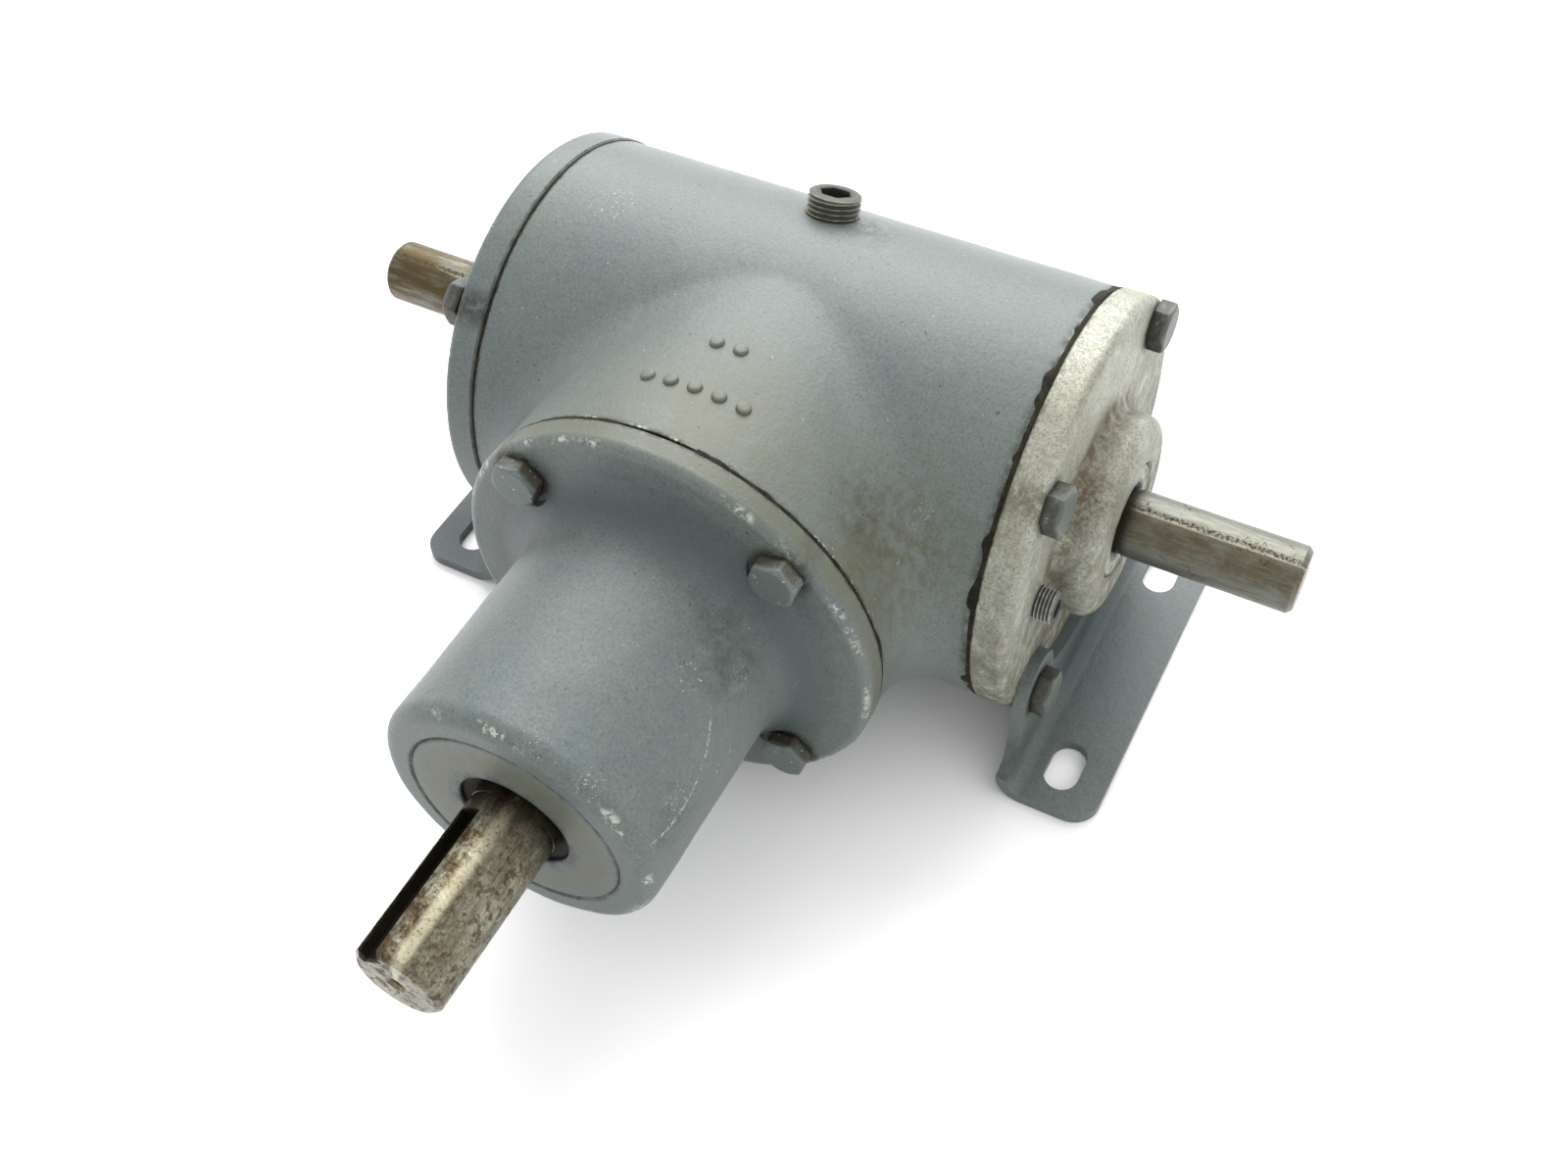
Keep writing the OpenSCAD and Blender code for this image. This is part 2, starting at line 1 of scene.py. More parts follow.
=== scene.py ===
"""Looks of a right angle bevel gearbox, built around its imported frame.

Shapes are drawn in millimetres, with each axis of revolution along the local +Z, and
are turned and scaled into the frame when a piece is made. The driving sizes come from
the frame's own boxes.
"""
import json
import math

import bmesh
import bpy
import numpy as np
from mathutils import Matrix, Vector, noise


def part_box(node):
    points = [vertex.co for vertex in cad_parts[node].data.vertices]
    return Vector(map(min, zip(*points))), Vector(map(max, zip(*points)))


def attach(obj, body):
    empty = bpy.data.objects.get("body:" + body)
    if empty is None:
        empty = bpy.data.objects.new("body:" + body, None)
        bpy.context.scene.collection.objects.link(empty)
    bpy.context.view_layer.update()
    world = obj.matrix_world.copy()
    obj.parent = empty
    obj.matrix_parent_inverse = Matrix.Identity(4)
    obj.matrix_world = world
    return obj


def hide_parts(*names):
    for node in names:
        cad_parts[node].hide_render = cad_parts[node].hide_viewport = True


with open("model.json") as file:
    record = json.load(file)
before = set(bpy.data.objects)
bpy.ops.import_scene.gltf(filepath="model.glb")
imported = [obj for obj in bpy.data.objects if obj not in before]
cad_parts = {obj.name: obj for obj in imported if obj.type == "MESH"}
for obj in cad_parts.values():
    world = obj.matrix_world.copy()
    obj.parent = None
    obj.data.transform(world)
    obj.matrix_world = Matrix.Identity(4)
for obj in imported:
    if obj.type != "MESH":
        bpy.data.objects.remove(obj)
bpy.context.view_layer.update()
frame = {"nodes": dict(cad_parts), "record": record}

# ---- Sizes, in millimetres ------------------------------------------------------

MM = 0.001


def node_box(name):
    """Lowest and highest corner of a CAD node, in millimetres"""
    low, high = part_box(name)
    return low / MM, high / MM


housing_low, housing_high = node_box("housing")
cover_low, cover_high = node_box("right_end_cover")
gasket_low, gasket_high = node_box("right_cover_gasket")
flange_low, flange_high = node_box("pinion_housing")
pinion_low, pinion_high = node_box("pinion_shaft")
cross_low, cross_high = node_box("cross_shaft")
bracket_low, bracket_high = node_box("right_foot_bracket")

AXIS_H = (housing_low.z + housing_high.z) / 2
FACE_AT = housing_high.y
DRUM_R = -housing_low.x
BRANCH_R = (housing_high.z - housing_low.z) / 2
COVER_R = (cover_high.x - cover_low.x) / 2
COVER_AT = gasket_high.y
COVER_FACE = bracket_low.y
HUB_END = cover_high.y
FLANGE_R = (flange_high.z - flange_low.z) / 2
FLANGE_FACE = COVER_AT + 8.5
QUILL_END = flange_high.x
CROSS_REACH = cross_high.y
PINION_REACH = pinion_high.x
FOOT_HALF = bracket_high.x
FOOT_REACH = bracket_high.y

WALL = 8
OPENING_R = 46
RING_DEPTH = 22
BRANCH_TAPER = 3
BLEND_R = 18
HUB_R = 30.5
QUILL_R = 40.6
QUILL_BLEND = 13
CROSS_R = 10
PINION_R = 12.5
PINION_SEAL_R = 31
SEAL_HOLE_R = 16
CROSS_SEAL_R = 17.5
PLATE_T = 3.5
BOLT_AT = 55 * math.cos(math.radians(45))
BOLT_R = 4
BOLT_AF = 13
BOLT_HEAD = 5.3
FILL_LEAN = 22
FILL_OFF = 3
FILL_R = 8
LEVEL_R = 5
LEVEL_X = 39
TURNS = 160

# How local axes lie in the frame: the pinion's axis, and the cross shaft's axis
# towards the right and the left cover. The origin is the crossing of the shafts.
LIFT = Matrix.Translation((0, 0, AXIS_H))
ALONG_X = LIFT @ Matrix(((0, 0, 1, 0), (0, 1, 0, 0), (-1, 0, 0, 0), (0, 0, 0, 1)))
ALONG_RIGHT = LIFT @ Matrix(((1, 0, 0, 0), (0, 0, 1, 0), (0, -1, 0, 0), (0, 0, 0, 1)))
ALONG_LEFT = LIFT @ Matrix(((1, 0, 0, 0), (0, 0, -1, 0), (0, -1, 0, 0), (0, 0, 0, 1)))
FILL_AXIS = (LIFT @ Matrix.Rotation(math.radians(-FILL_LEAN), 4, "Y")
             @ Matrix.Translation((0, -FILL_OFF, 0)))
LEVEL_AXIS = ALONG_RIGHT @ Matrix.Translation((LEVEL_X, 0, 0))

UPPER = [(1, -1), (-1, -1)]
LOWER = [(1, 1), (-1, 1)]


# ---- Mesh helpers ---------------------------------------------------------------

def skin(rings, loop=False):
    """Mesh through rings of points, where a ring of one point is a pole"""
    points, starts, faces = [], [], []
    for ring in rings:
        starts.append(len(points))
        points += ring
    pairs = [(i, i + 1) for i in range(len(rings) - 1)]
    if loop:
        pairs.append((len(rings) - 1, 0))
    for a, b in pairs:
        size_a, size_b = len(rings[a]), len(rings[b])
        count = max(size_a, size_b)
        for i in range(count):
            j = (i + 1) % count
            corners = [starts[a] + i % size_a, starts[a] + j % size_a,
                       starts[b] + j % size_b, starts[b] + i % size_b]
            faces.append(list(dict.fromkeys(corners)))
    mesh = bpy.data.meshes.new("skin")
    mesh.from_pydata(points, [], faces)
    face_out(mesh)
    return mesh


def face_out(mesh):
    """Turns the faces of a closed mesh outwards"""
    work = bmesh.new()
    work.from_mesh(mesh)
    bmesh.ops.recalc_face_normals(work, faces=work.faces)
    work.to_mesh(mesh)
    work.free()


def arc(cx, cy, radius, start, stop, steps=8):
    """Points of an arc, its end points included, with angles in degrees"""
    angles = [math.radians(start + (stop - start) * i / steps) for i in range(steps + 1)]
    return [(cx + radius * math.cos(a), cy + radius * math.sin(a)) for a in angles]


def finely(outline, step):
    """Adds points along the straight stretches of an outline"""
    points = []
    for here, there in zip(outline, outline[1:]):
        parts = max(1, int(math.dist(here, there) / step))
        points += [tuple(h + (t - h) * i / parts for h, t in zip(here, there))
                   for i in range(parts)]
    return points + [outline[-1]]


def lathe(outline, turns=TURNS):
    """Closed solid turned about local Z from points of (radius, height)"""
    rings = []
    for radius, height in outline:
        if radius < 1e-6:
            rings.append([(0, 0, height)])
            continue
        rings.append([(radius * math.cos(a), radius * math.sin(a), height)
                      for a in (2 * math.pi * i / turns for i in range(turns))])
    return skin(rings, loop=outline[0][0] > 1e-6)


def rod(radius, start, stop, turns=48):
    return lathe([(0, start), (radius, start), (radius, stop), (0, stop)], turns)


def block(low, high):
    work = bmesh.new()
    bmesh.ops.create_cube(work, size=1)
    for vert in work.verts:
        vert.co = Vector([(a + b) / 2 + c * (b - a) for a, b, c in zip(low, high, vert.co)])
    mesh = bpy.data.meshes.new("block")
    work.to_mesh(mesh)
    work.free()
    return mesh


def prism(outline, height):
    """Upright solid on a closed outline of (x, y) points"""
    count = len(outline)
    points = [(x, y, 0) for x, y in outline] + [(x, y, height) for x, y in outline]
    faces = [list(range(count)), list(range(count, 2 * count))]
    faces += [[i, (i + 1) % count, count + (i + 1) % count, count + i]
              for i in range(count)]
    mesh = bpy.data.meshes.new("prism")
    mesh.from_pydata(points, [], faces)
    face_out(mesh)
    return mesh


def moved(mesh, matrix):
    """A copy of a mesh, carried by a matrix"""
    copy = mesh.copy()
    copy.transform(matrix)
    if matrix.determinant() < 0:
        copy.flip_normals()
    return copy


def joined(meshes):
    work = bmesh.new()
    for mesh in meshes:
        work.from_mesh(mesh)
    result = bpy.data.meshes.new("joined")
    work.to_mesh(result)
    work.free()
    return result


def shaped(mesh, steps):
    """Applies modifiers, given as (type, settings), and returns the new mesh"""
    holder = bpy.data.objects.new("holder", mesh)
    bpy.context.scene.collection.objects.link(holder)
    helpers = []
    for kind, settings in steps:
        modifier = holder.modifiers.new(kind, kind)
        for key, value in settings.items():
            if isinstance(value, bpy.types.Mesh):
                value = bpy.data.objects.new("helper", value)
                bpy.context.scene.collection.objects.link(value)
                helpers.append(value)
            setattr(modifier, key, value)
    graph = bpy.context.evaluated_depsgraph_get()
    result = bpy.data.meshes.new_from_object(holder.evaluated_get(graph))
    for helper in [holder] + helpers:
        bpy.data.objects.remove(helper)
    return result


def boolean(operation, other):
    return "BOOLEAN", {"operation": operation, "solver": "MANIFOLD", "object": other}


def cut(mesh, cutters):
    return shaped(mesh, [boolean("DIFFERENCE", cutter) for cutter in cutters])


def bolt_places(corners):
    return [Matrix.Translation((x * BOLT_AT, y * BOLT_AT, 0)) for x, y in corners]


def at_bolts(mesh, corners=tuple(UPPER + LOWER)):
    """Copies of a mesh at corners of the bolt circle, as separate meshes"""
    return [moved(mesh, place) for place in bolt_places(corners)]


def weathered(mesh, amount, size, where=None):
    """Moves the vertices of a cast skin in and out by smooth noise"""
    normals = [v.normal.copy() for v in mesh.vertices]
    for vert, normal in zip(mesh.vertices, normals):
        if where is None or where(vert.co):
            vert.co += normal * amount * noise.noise(vert.co / size)
    return mesh


def piece(name, mesh, look, nodes, body="casing", edge_look=None, crease=32):
    """Makes an object that stands for CAD nodes and rides on a body"""
    mesh.transform(Matrix.Scale(MM, 4))
    mesh.materials.clear()
    mesh.materials.append(look)
    if edge_look:
        mesh.materials.append(edge_look)
    mesh.shade_smooth()
    mesh.set_sharp_from_angle(angle=math.radians(crease))
    thing = bpy.data.objects.new(name, mesh)
    bpy.context.scene.collection.objects.link(thing)
    weighting = thing.modifiers.new("weighting", "WEIGHTED_NORMAL")
    weighting.keep_sharp = True
    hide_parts(*nodes)
    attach(thing, body)
    return thing


# ---- Material helpers -----------------------------------------------------------

def tone(red, green, blue):
    """Linear colour of a display colour given from 0 to 255"""
    levels = [value / 255 for value in (red, green, blue)]
    return [v / 12.92 if v <= 0.04045 else ((v + 0.055) / 1.055) ** 2.4
            for v in levels] + [1]


class Look:
    """A procedural material under construction"""

    def __init__(self, name, metallic=0.0):
        self.material = bpy.data.materials.new(name)
        self.material.use_nodes = True
        self.tree = self.material.node_tree
        self.tree.nodes.clear()
        self.shader = self.node("ShaderNodeBsdfPrincipled")
        self.shader.inputs["Metallic"].default_value = metallic
        output = self.node("ShaderNodeOutputMaterial")
        self.tree.links.new(self.shader.outputs[0], output.inputs[0])
        self.place = self.node("ShaderNodeTexCoord").outputs["Object"]
        parts = self.node("ShaderNodeSeparateXYZ", self.place)
        self.x, self.y = parts.outputs[0], parts.outputs[1]
        self.up = self.math("SUBTRACT", parts.outputs[2], AXIS_H * MM)
        self.normal = None
        self.radii = {}

    def node(self, kind, *inputs, **settings):
        made = self.tree.nodes.new(kind)
        for key, value in settings.items():
            setattr(made, key, value)
        for i, value in enumerate(inputs):
            self.feed(made.inputs[i], value)
        return made

    def feed(self, socket, value):
        if isinstance(value, bpy.types.NodeSocket):
            self.tree.links.new(value, socket)
        elif value is not None:
            socket.default_value = value

    def math(self, operation, a, b=0.0, clamp=False):
        return self.node("ShaderNodeMath", a, b, operation=operation,
                         use_clamp=clamp).outputs[0]

    def noise(self, size, detail=3.0, roughness=0.5, stretch=None, shift=0.0):
        """Noise from 0 to 1, with features of about size millimetres"""
        place = self.place
        if stretch:
            place = self.node("ShaderNodeVectorMath", place, stretch,
                              operation="MULTIPLY").outputs[0]
        if shift:
            place = self.node("ShaderNodeVectorMath", place, (shift, shift, shift),
                              operation="ADD").outputs[0]
        made = self.node("ShaderNodeTexNoise")
        self.feed(made.inputs["Vector"], place)
        self.feed(made.inputs["Scale"], 1 / (size * MM))
        self.feed(made.inputs["Detail"], detail)
        self.feed(made.inputs["Roughness"], roughness)
        return made.outputs[0]

    def step(self, value, low, high):
        """0 below low, 1 above high and smooth between"""
        made = self.node("ShaderNodeMapRange", value, low, high, 0.0, 1.0,
                         interpolation_type="SMOOTHSTEP")
        return made.outputs[0]

    def times(self, *values):
        result = values[0]
        for value in values[1:]:
            result = self.math("MULTIPLY", result, value)
        return result

    def most(self, *values):
        result = values[0]
        for value in values[1:]:
            result = self.math("MAXIMUM", result, value)
        return result

    def less(self, value):
        return self.math("SUBTRACT", 1.0, value, clamp=True)

    def mix(self, share, a, b):
        made = self.node("ShaderNodeMix", data_type="RGBA")
        self.feed(made.inputs[0], share)
        self.feed(made.inputs[6], a)
        self.feed(made.inputs[7], b)
        return made.outputs[2]

    def radius(self, axis):
        """Distance from a shaft's axis"""
        if axis not in self.radii:
            across = self.y if axis == "X" else self.x
            self.radii[axis] = self.math("SQRT", self.math(
                "ADD", self.times(across, across), self.times(self.up, self.up)))
        return self.radii[axis]

    def ring(self, axis, at, radius, reach):
        """1 on a circle about a shaft's axis, falling to 0 at reach from it"""
        along = self.x if axis == "X" else self.y
        off = self.math("SUBTRACT", along, at * MM)
        out = self.math("SUBTRACT", self.radius(axis), radius * MM)
        gap = self.math("SQRT", self.math("ADD", self.times(off, off), self.times(out, out)))
        return self.less(self.step(gap, 0.0, reach * MM))

    def near_bolts(self, axis, at):
        """1 at the bolt heads on a face across a shaft's axis, falling to 0 round them"""
        along = self.x if axis == "X" else self.math("ABSOLUTE", self.y)
        across = self.y if axis == "X" else self.x
        off = self.math("SUBTRACT", self.math("ABSOLUTE", across), BOLT_AT * MM)
        rise = self.math("SUBTRACT", self.math("ABSOLUTE", self.up), BOLT_AT * MM)
        gap = self.math("SQRT", self.math("ADD", self.times(off, off), self.times(rise, rise)))
        low = self.less(self.step(along, (at + 1.5) * MM, (at + 5) * MM))
        return self.times(low, self.less(self.step(gap, 6.8 * MM, 10.5 * MM)))

    def turn(self, axis):
        """Angle in degrees round a shaft's axis, upwards from the level direction +X
        of the cross shaft or +Y of the pinion shaft"""
        across = self.y if axis == "X" else self.x
        return self.math("MULTIPLY", self.math("ARCTAN2", self.up, across), 180 / math.pi)

    def band(self, value, centre, half, soft):
        """1 within half of centre, falling to 0 over soft"""
        gap = self.math("ABSOLUTE", self.math("SUBTRACT", value, centre))
        return self.less(self.step(gap, half, half + soft))

    def shell(self, centre, radius, half):
        """1 within half of a sphere's skin, which draws an arc on a surface"""
        place = [value * MM for value in centre]
        gap = self.node("ShaderNodeVectorMath", self.place, place, operation="DISTANCE")
        return self.band(gap.outputs["Value"], radius * MM, half * MM, half * MM)

    def patch(self, centre, reach):
        """1 at a point, falling to 0 at reach from it"""
        place = [value * MM for value in centre]
        gap = self.node("ShaderNodeVectorMath", self.place, place, operation="DISTANCE")
        return self.less(self.step(gap.outputs["Value"], 0.0, reach * MM))

    def bump(self, height, distance, strength=1.0):
        made = self.node("ShaderNodeBump")
        self.feed(made.inputs["Height"], height)
        self.feed(made.inputs["Distance"], distance * MM)
        self.feed(made.inputs["Strength"], strength)
        self.feed(made.inputs["Normal"], self.normal)
        self.normal = made.outputs[0]

    def done(self, color, roughness):
        self.feed(self.shader.inputs["Base Color"], color)
        self.feed(self.shader.inputs["Roughness"], roughness)
        self.feed(self.shader.inputs["Normal"], self.normal)
        return self.material


PAINT = tone(86, 94, 91)
PAINT_LIGHT = tone(100, 106, 100)
PAINT_BLUE = tone(82, 91, 91)
PAINT_DARK = tone(58, 65, 62)
# Deeper blue-grey of the painted shade in corners and low places.
PAINTED_SHADE_BLUE = tone(46, 56, 60)
CHIP = tone(160, 164, 154)
# Dark brown of dirt, also used for the painted shade round the bolt heads.
DIRT_AND_SHADE = tone(36, 32, 22)
OLIVE = tone(72, 68, 46)
BEIGE = tone(84, 85, 70)


def paint(name, seams=(), edges=(), worn=(), grimy=(), scuffed=(), streaked=(), scored=(),
          deep=(), bolts=None):
    """Blue-grey paint on a casting. Dirt gathers at seams and in grimy patches, and dirt
    with painted shade rings the foot of each bolt head. The paint is chipped along
    edges and in scuffed patches. Worn rings and patches are rubbed to a warmer grey.
    Streaked patches have upright runs of grime, scored arcs are thin broken scratches,
    and painted shade darkens the paint to a deeper blue-grey in the corners and low
    places given in deep."""
    look = Look(name)
    look.shader.inputs["Specular IOR Level"].default_value = 0.4
    broad = look.noise(42, 2, 0.5)
    middle = look.noise(5, 4, 0.6)
    grain = look.noise(0.75, 3, 0.65)
    color = look.mix(look.step(broad, 0.35, 0.65), PAINT, PAINT_BLUE)
    color = look.mix(look.times(look.step(middle, 0.42, 0.78), 0.40), color, PAINT_LIGHT)
    color = look.mix(look.times(look.step(grain, 0.50, 0.70), 0.65), color, PAINT_LIGHT)
    color = look.mix(look.times(look.less(look.step(grain, 0.32, 0.48)), 0.55), color, PAINT_DARK)
    # Painted shade: deeper blue-grey paint at the corners and low places given in deep.
    for make in deep:
        color = look.mix(look.times(make(look), 0.75), color, PAINTED_SHADE_BLUE)
    if worn:
        rub = look.most(*[make(look) for make in worn])
        rub = look.times(rub, look.step(look.noise(7, 4, 0.65, shift=0.3), 0.2, 0.55))
        color = look.mix(look.times(rub, 0.9), color, BEIGE)
    for make in streaked:
        runs = look.step(look.noise(2.6, 4, 0.65, stretch=(1, 1, 0.2)), 0.40, 0.68)
        color = look.mix(look.times(make(look), runs, 0.85), color, OLIVE)
    dirt_and_shade = look.times(look.step(look.noise(13, 5, 0.7, shift=0.7), 0.60, 0.8), 0.14)
    for make in seams:
        patches = look.step(look.noise(4, 4, 0.7, shift=0.11), 0.34, 0.64)
        dirt_and_shade = look.most(dirt_and_shade, look.times(make(look), patches, 0.9))
    for make in grimy:
        smears = look.step(look.noise(4, 5, 0.72, shift=0.5), 0.34, 0.72)
        dirt_and_shade = look.most(dirt_and_shade, look.times(make(look), smears, 0.62))
    # Dirt together with painted shade in rings round the foot of each bolt head.
    if bolts:
        rings = look.step(look.noise(2.4, 4, 0.7, shift=0.35), 0.28, 0.56)
        dirt_and_shade = look.most(dirt_and_shade, look.times(look.near_bolts(*bolts), rings, 0.85))
    # Dirt, and the painted shade round the bolt heads, darken the paint to dark brown.
    color = look.mix(dirt_and_shade, color, DIRT_AND_SHADE)
    speck = look.step(look.noise(1.7, 1, 0.4, shift=1.3), 0.77, 0.80)
    color = look.mix(look.times(speck, 0.7), color, tone(34, 34, 28))
    chip = look.times(look.step(look.noise(1.3, 2, 0.6, shift=2.1), 0.735, 0.77), 0.6)
    clusters = look.step(look.noise(11, 2, 0.6, shift=1.7), 0.50, 0.60)
    for make in edges:
        flakes = look.step(look.noise(1.5, 3, 0.7, shift=1.9), 0.47, 0.56)
        chip = look.most(chip, look.times(make(look), flakes, clusters))
    for make in scuffed:
        flakes = look.step(look.noise(1.0, 3, 0.75, shift=0.9), 0.60, 0.66)
        chip = look.most(chip, look.times(look.step(make(look), 0.05, 0.5), flakes, 0.85))
    for centre, radius, middle_at, reach in scored:
        breaks = look.step(look.noise(1.2, 3, 0.75, shift=0.45), 0.50, 0.56)
        near = look.step(look.patch(middle_at, reach), 0.1, 0.5)
        chip = look.most(chip, look.times(look.shell(centre, radius, 0.24), breaks, near, 0.75))
    color = look.mix(chip, color, CHIP)
    look.bump(look.noise(1.3, 3, 0.6, shift=0.2), 0.11)
    look.bump(look.noise(6, 2, 0.5, shift=0.8), 0.12)
    look.bump(chip, 0.05, 0.6)
    rough = look.math("ADD", 0.40, look.times(middle, 0.14))
    rough = look.math("ADD", rough, look.times(dirt_and_shade, 0.30))
    return look.done(color, rough)


def cast_aluminium():
    look = Look("bare_cast_aluminium", metallic=0.35)
    broad = look.noise(20, 4, 0.6)
    grain = look.noise(0.6, 3, 0.7)
    color = look.mix(look.step(broad, 0.35, 0.7), tone(170, 171, 161), tone(142, 143, 128))
    pits = look.step(look.noise(1.3, 4, 0.75, shift=0.6), 0.47, 0.62)
    color = look.mix(look.times(look.step(grain, 0.46, 0.64), 0.55), color, tone(84, 84, 70))
    color = look.mix(look.times(pits, 0.40), color, tone(92, 91, 76))
    # Dirt patches grow denser towards the bottom; the extra darkness low down is painted shade.
    low = look.less(look.step(look.up, -0.045, 0.055))
    dirt_and_shade = look.times(look.step(look.noise(7, 5, 0.72, shift=0.4), 0.28, 0.60),
                      look.math("ADD", 0.14, look.times(low, 0.80)))
    seam = look.times(look.ring("Y", COVER_AT, COVER_R, 2.6),
                      look.step(look.noise(4, 3, 0.6), 0.4, 0.6), 0.85)
    # Dirt and painted shade round the foot of each bolt head.
    heads = look.times(look.near_bolts("Y", COVER_FACE), 0.8,
                       look.step(look.noise(2.4, 4, 0.7, shift=0.35), 0.25, 0.55))
    base = look.times(look.ring("Y", COVER_FACE + 1, HUB_R + 2, 7),
                      look.step(look.noise(5, 4, 0.7, shift=1.1), 0.34, 0.62), 0.8)
    color = look.mix(look.most(dirt_and_shade, seam, heads), color, tone(72, 70, 52))
    color = look.mix(base, color, tone(78, 70, 48))
    rust = look.times(look.most(look.patch((22, COVER_FACE + 3, AXIS_H + 28), 17),
                                look.times(base, 0.6)),
                      look.step(look.noise(1.6, 4, 0.75, shift=2.0), 0.46, 0.58))
    color = look.mix(look.times(rust, 0.9), color, tone(82, 54, 34))
    look.bump(grain, 0.12)
    look.bump(look.noise(2.2, 3, 0.6), 0.10)
    rough = look.math("ADD", 0.42, look.times(grain, 0.22))
    rough = look.math("ADD", rough, look.times(look.most(dirt_and_shade, base), 0.2))
    return look.done(color, rough)


def shaft_base(name, axis, bright, dull):
    """Ground steel with fine stains along the shaft"""
    look = Look(name, metallic=0.85)
    along = (0.12, 1, 1) if axis == "X" else (1, 0.12, 1)
    streak = look.noise(0.9, 3, 0.6, stretch=along)
    color = look.mix(look.step(streak, 0.34, 0.66), bright, dull)
    return look, streak, color


def cross_steel():
    look, streak, color = shaft_base("cross_shaft_steel", "Y", tone(108, 110, 103),
                                     tone(94, 93, 83))
    cloud = look.noise(7, 5, 0.68)
    speck = look.noise(0.8, 3, 0.7)
    angle = look.turn("Y")
    olive = look.times(look.band(angle, 40, 14, 26), look.step(cloud, 0.20, 0.6),
                       look.math("ADD", 0.4, look.times(streak, 0.6)))
    color = look.mix(olive, color, tone(74, 65, 44))
    # Painted highlight: a thin bright line along the shaft, about 70 degrees up from level.
    painted_highlight = look.times(look.band(angle, 70, 1.2, 2.5), look.step(streak, 0.3, 0.5))
    color = look.mix(look.times(painted_highlight, 0.6), color, tone(168, 168, 150))
    brown = look.most(look.times(look.step(cloud, 0.54, 0.66), look.step(speck, 0.50, 0.60)),
                      look.times(look.band(angle, 75, 3, 4), look.step(speck, 0.48, 0.56)))
    color = look.mix(look.times(brown, 0.85), color, tone(62, 42, 22))
    left = look.less(look.step(look.y, -0.12, -0.08))
    runs = look.step(look.noise(2.4, 3, 0.6, stretch=(1, 0.15, 1), shift=0.2), 0.36, 0.56)
    color = look.mix(look.times(left, runs, 0.85), color, tone(72, 58, 32))
    grease = look.less(look.step(look.math("ABSOLUTE", look.y), HUB_END * MM,
                                 (HUB_END + 4) * MM))
    color = look.mix(look.times(grease, 0.9), color, tone(34, 27, 18))
    look.bump(streak, 0.015)
    look.bump(speck, 0.03)
    rough = look.math("ADD", 0.36, look.times(speck, 0.16))
    rough = look.math("ADD", rough, look.times(brown, 0.25))
    return look.done(color, rough)


def pinion_steel():
    look, streak, color = shaft_base("pinion_shaft_steel", "X", tone(142, 140, 124),
                                     tone(108, 106, 90))
    cloud = look.noise(7, 5, 0.68)
    speck = look.noise(0.9, 4, 0.72)
    blot = look.noise(2.4, 4, 0.7, shift=0.4)
    angle = look.turn("X")
    stained = look.band(angle, 112, 30, 26)
    share = look.math("ADD", 0.40, look.times(stained, 0.55))
    color = look.mix(look.times(look.step(cloud, 0.36, 0.58), share), color, tone(78, 62, 38))
    rust = look.times(look.step(speck, 0.46, 0.57), share, look.step(cloud, 0.34, 0.55))
    color = look.mix(rust, color, tone(44, 33, 22))
    color = look.mix(look.times(look.step(blot, 0.52, 0.60), 0.65), color, tone(56, 50, 36))
    # Painted highlight: a narrow bright band along the shaft, about 76 degrees up from level.
    painted_highlight = look.times(look.band(angle, 76, 3, 9), look.step(speck, 0.30, 0.55))
    color = look.mix(look.times(painted_highlight, 0.55), color, tone(196, 190, 162))
    grease = look.less(look.step(look.x, QUILL_END * MM, (QUILL_END + 8) * MM))
    color = look.mix(look.times(grease, 0.8), color, tone(42, 31, 17))
    slot = look.times(look.less(look.step(look.radius("X"), (PINION_R - 0.9) * MM,
                                          (PINION_R - 0.4) * MM)),
                      look.less(look.step(look.x, (PINION_REACH - 1.2) * MM,
                                          (PINION_REACH - 0.7) * MM)))
    grime = look.mix(look.step(cloud, 0.4, 0.65), tone(18, 17, 12), tone(38, 36, 26))
    color = look.mix(look.times(slot, 0.95), color, grime)
    look.bump(streak, 0.015)
    look.bump(speck, 0.05)
    rough = look.math("ADD", 0.20, look.times(speck, 0.18))
    rough = look.math("ADD", rough, look.times(look.most(look.step(blot, 0.50, 0.60), slot), 0.3))
    return look.done(color, rough)


def sealant(name="gasket_sealant"):
    look = Look(name)
    lumps = look.noise(2.2, 4, 0.65)
    color = look.mix(look.step(lumps, 0.35, 0.7), tone(13, 13, 9), tone(40, 38, 25))
    look.shader.inputs["Specular IOR Level"].default_value = 0.15
    look.bump(lumps, 0.3)
    return look.done(color, look.math("ADD", 0.6, look.times(lumps, 0.3)))


def bolt_paint(name, axis, face, end_color, flank_color, bare_share):
    """Thin paint on a bolt head, dirty on its flanks and chipped to bare metal, with
    painted shade round its foot
    """
    look = Look(name, metallic=0.15)
    patch = look.noise(3.2, 4, 0.65)
    fine = look.noise(0.7, 3, 0.65)
    along = look.x if axis == "X" else look.math("ABSOLUTE", look.y)
    flank = look.less(look.step(along, (face + 3.3) * MM, (face + 4.6) * MM))
    flank = look.times(flank, look.step(patch, 0.30, 0.56))
    color = look.mix(look.times(look.step(fine, 0.5, 0.75), 0.4), end_color, PAINT_DARK)
    color = look.mix(look.times(flank, 0.85), color, flank_color)
    shown = look.step(look.noise(2.0, 4, 0.7, shift=0.6), 0.72 - bare_share, 0.78 - bare_share)
    color = look.mix(shown, color, tone(168, 168, 154))
    # Painted shade, near black, round the foot of the head where it meets the face.
    base = look.less(look.step(along, (face + 0.5) * MM, (face + 1.6) * MM))
    color = look.mix(look.times(base, 0.85), color, tone(22, 20, 15))
    look.bump(patch, 0.16)
    look.bump(fine, 0.06)
    return look.done(color, look.math("ADD", 0.38, look.times(fine, 0.25)))


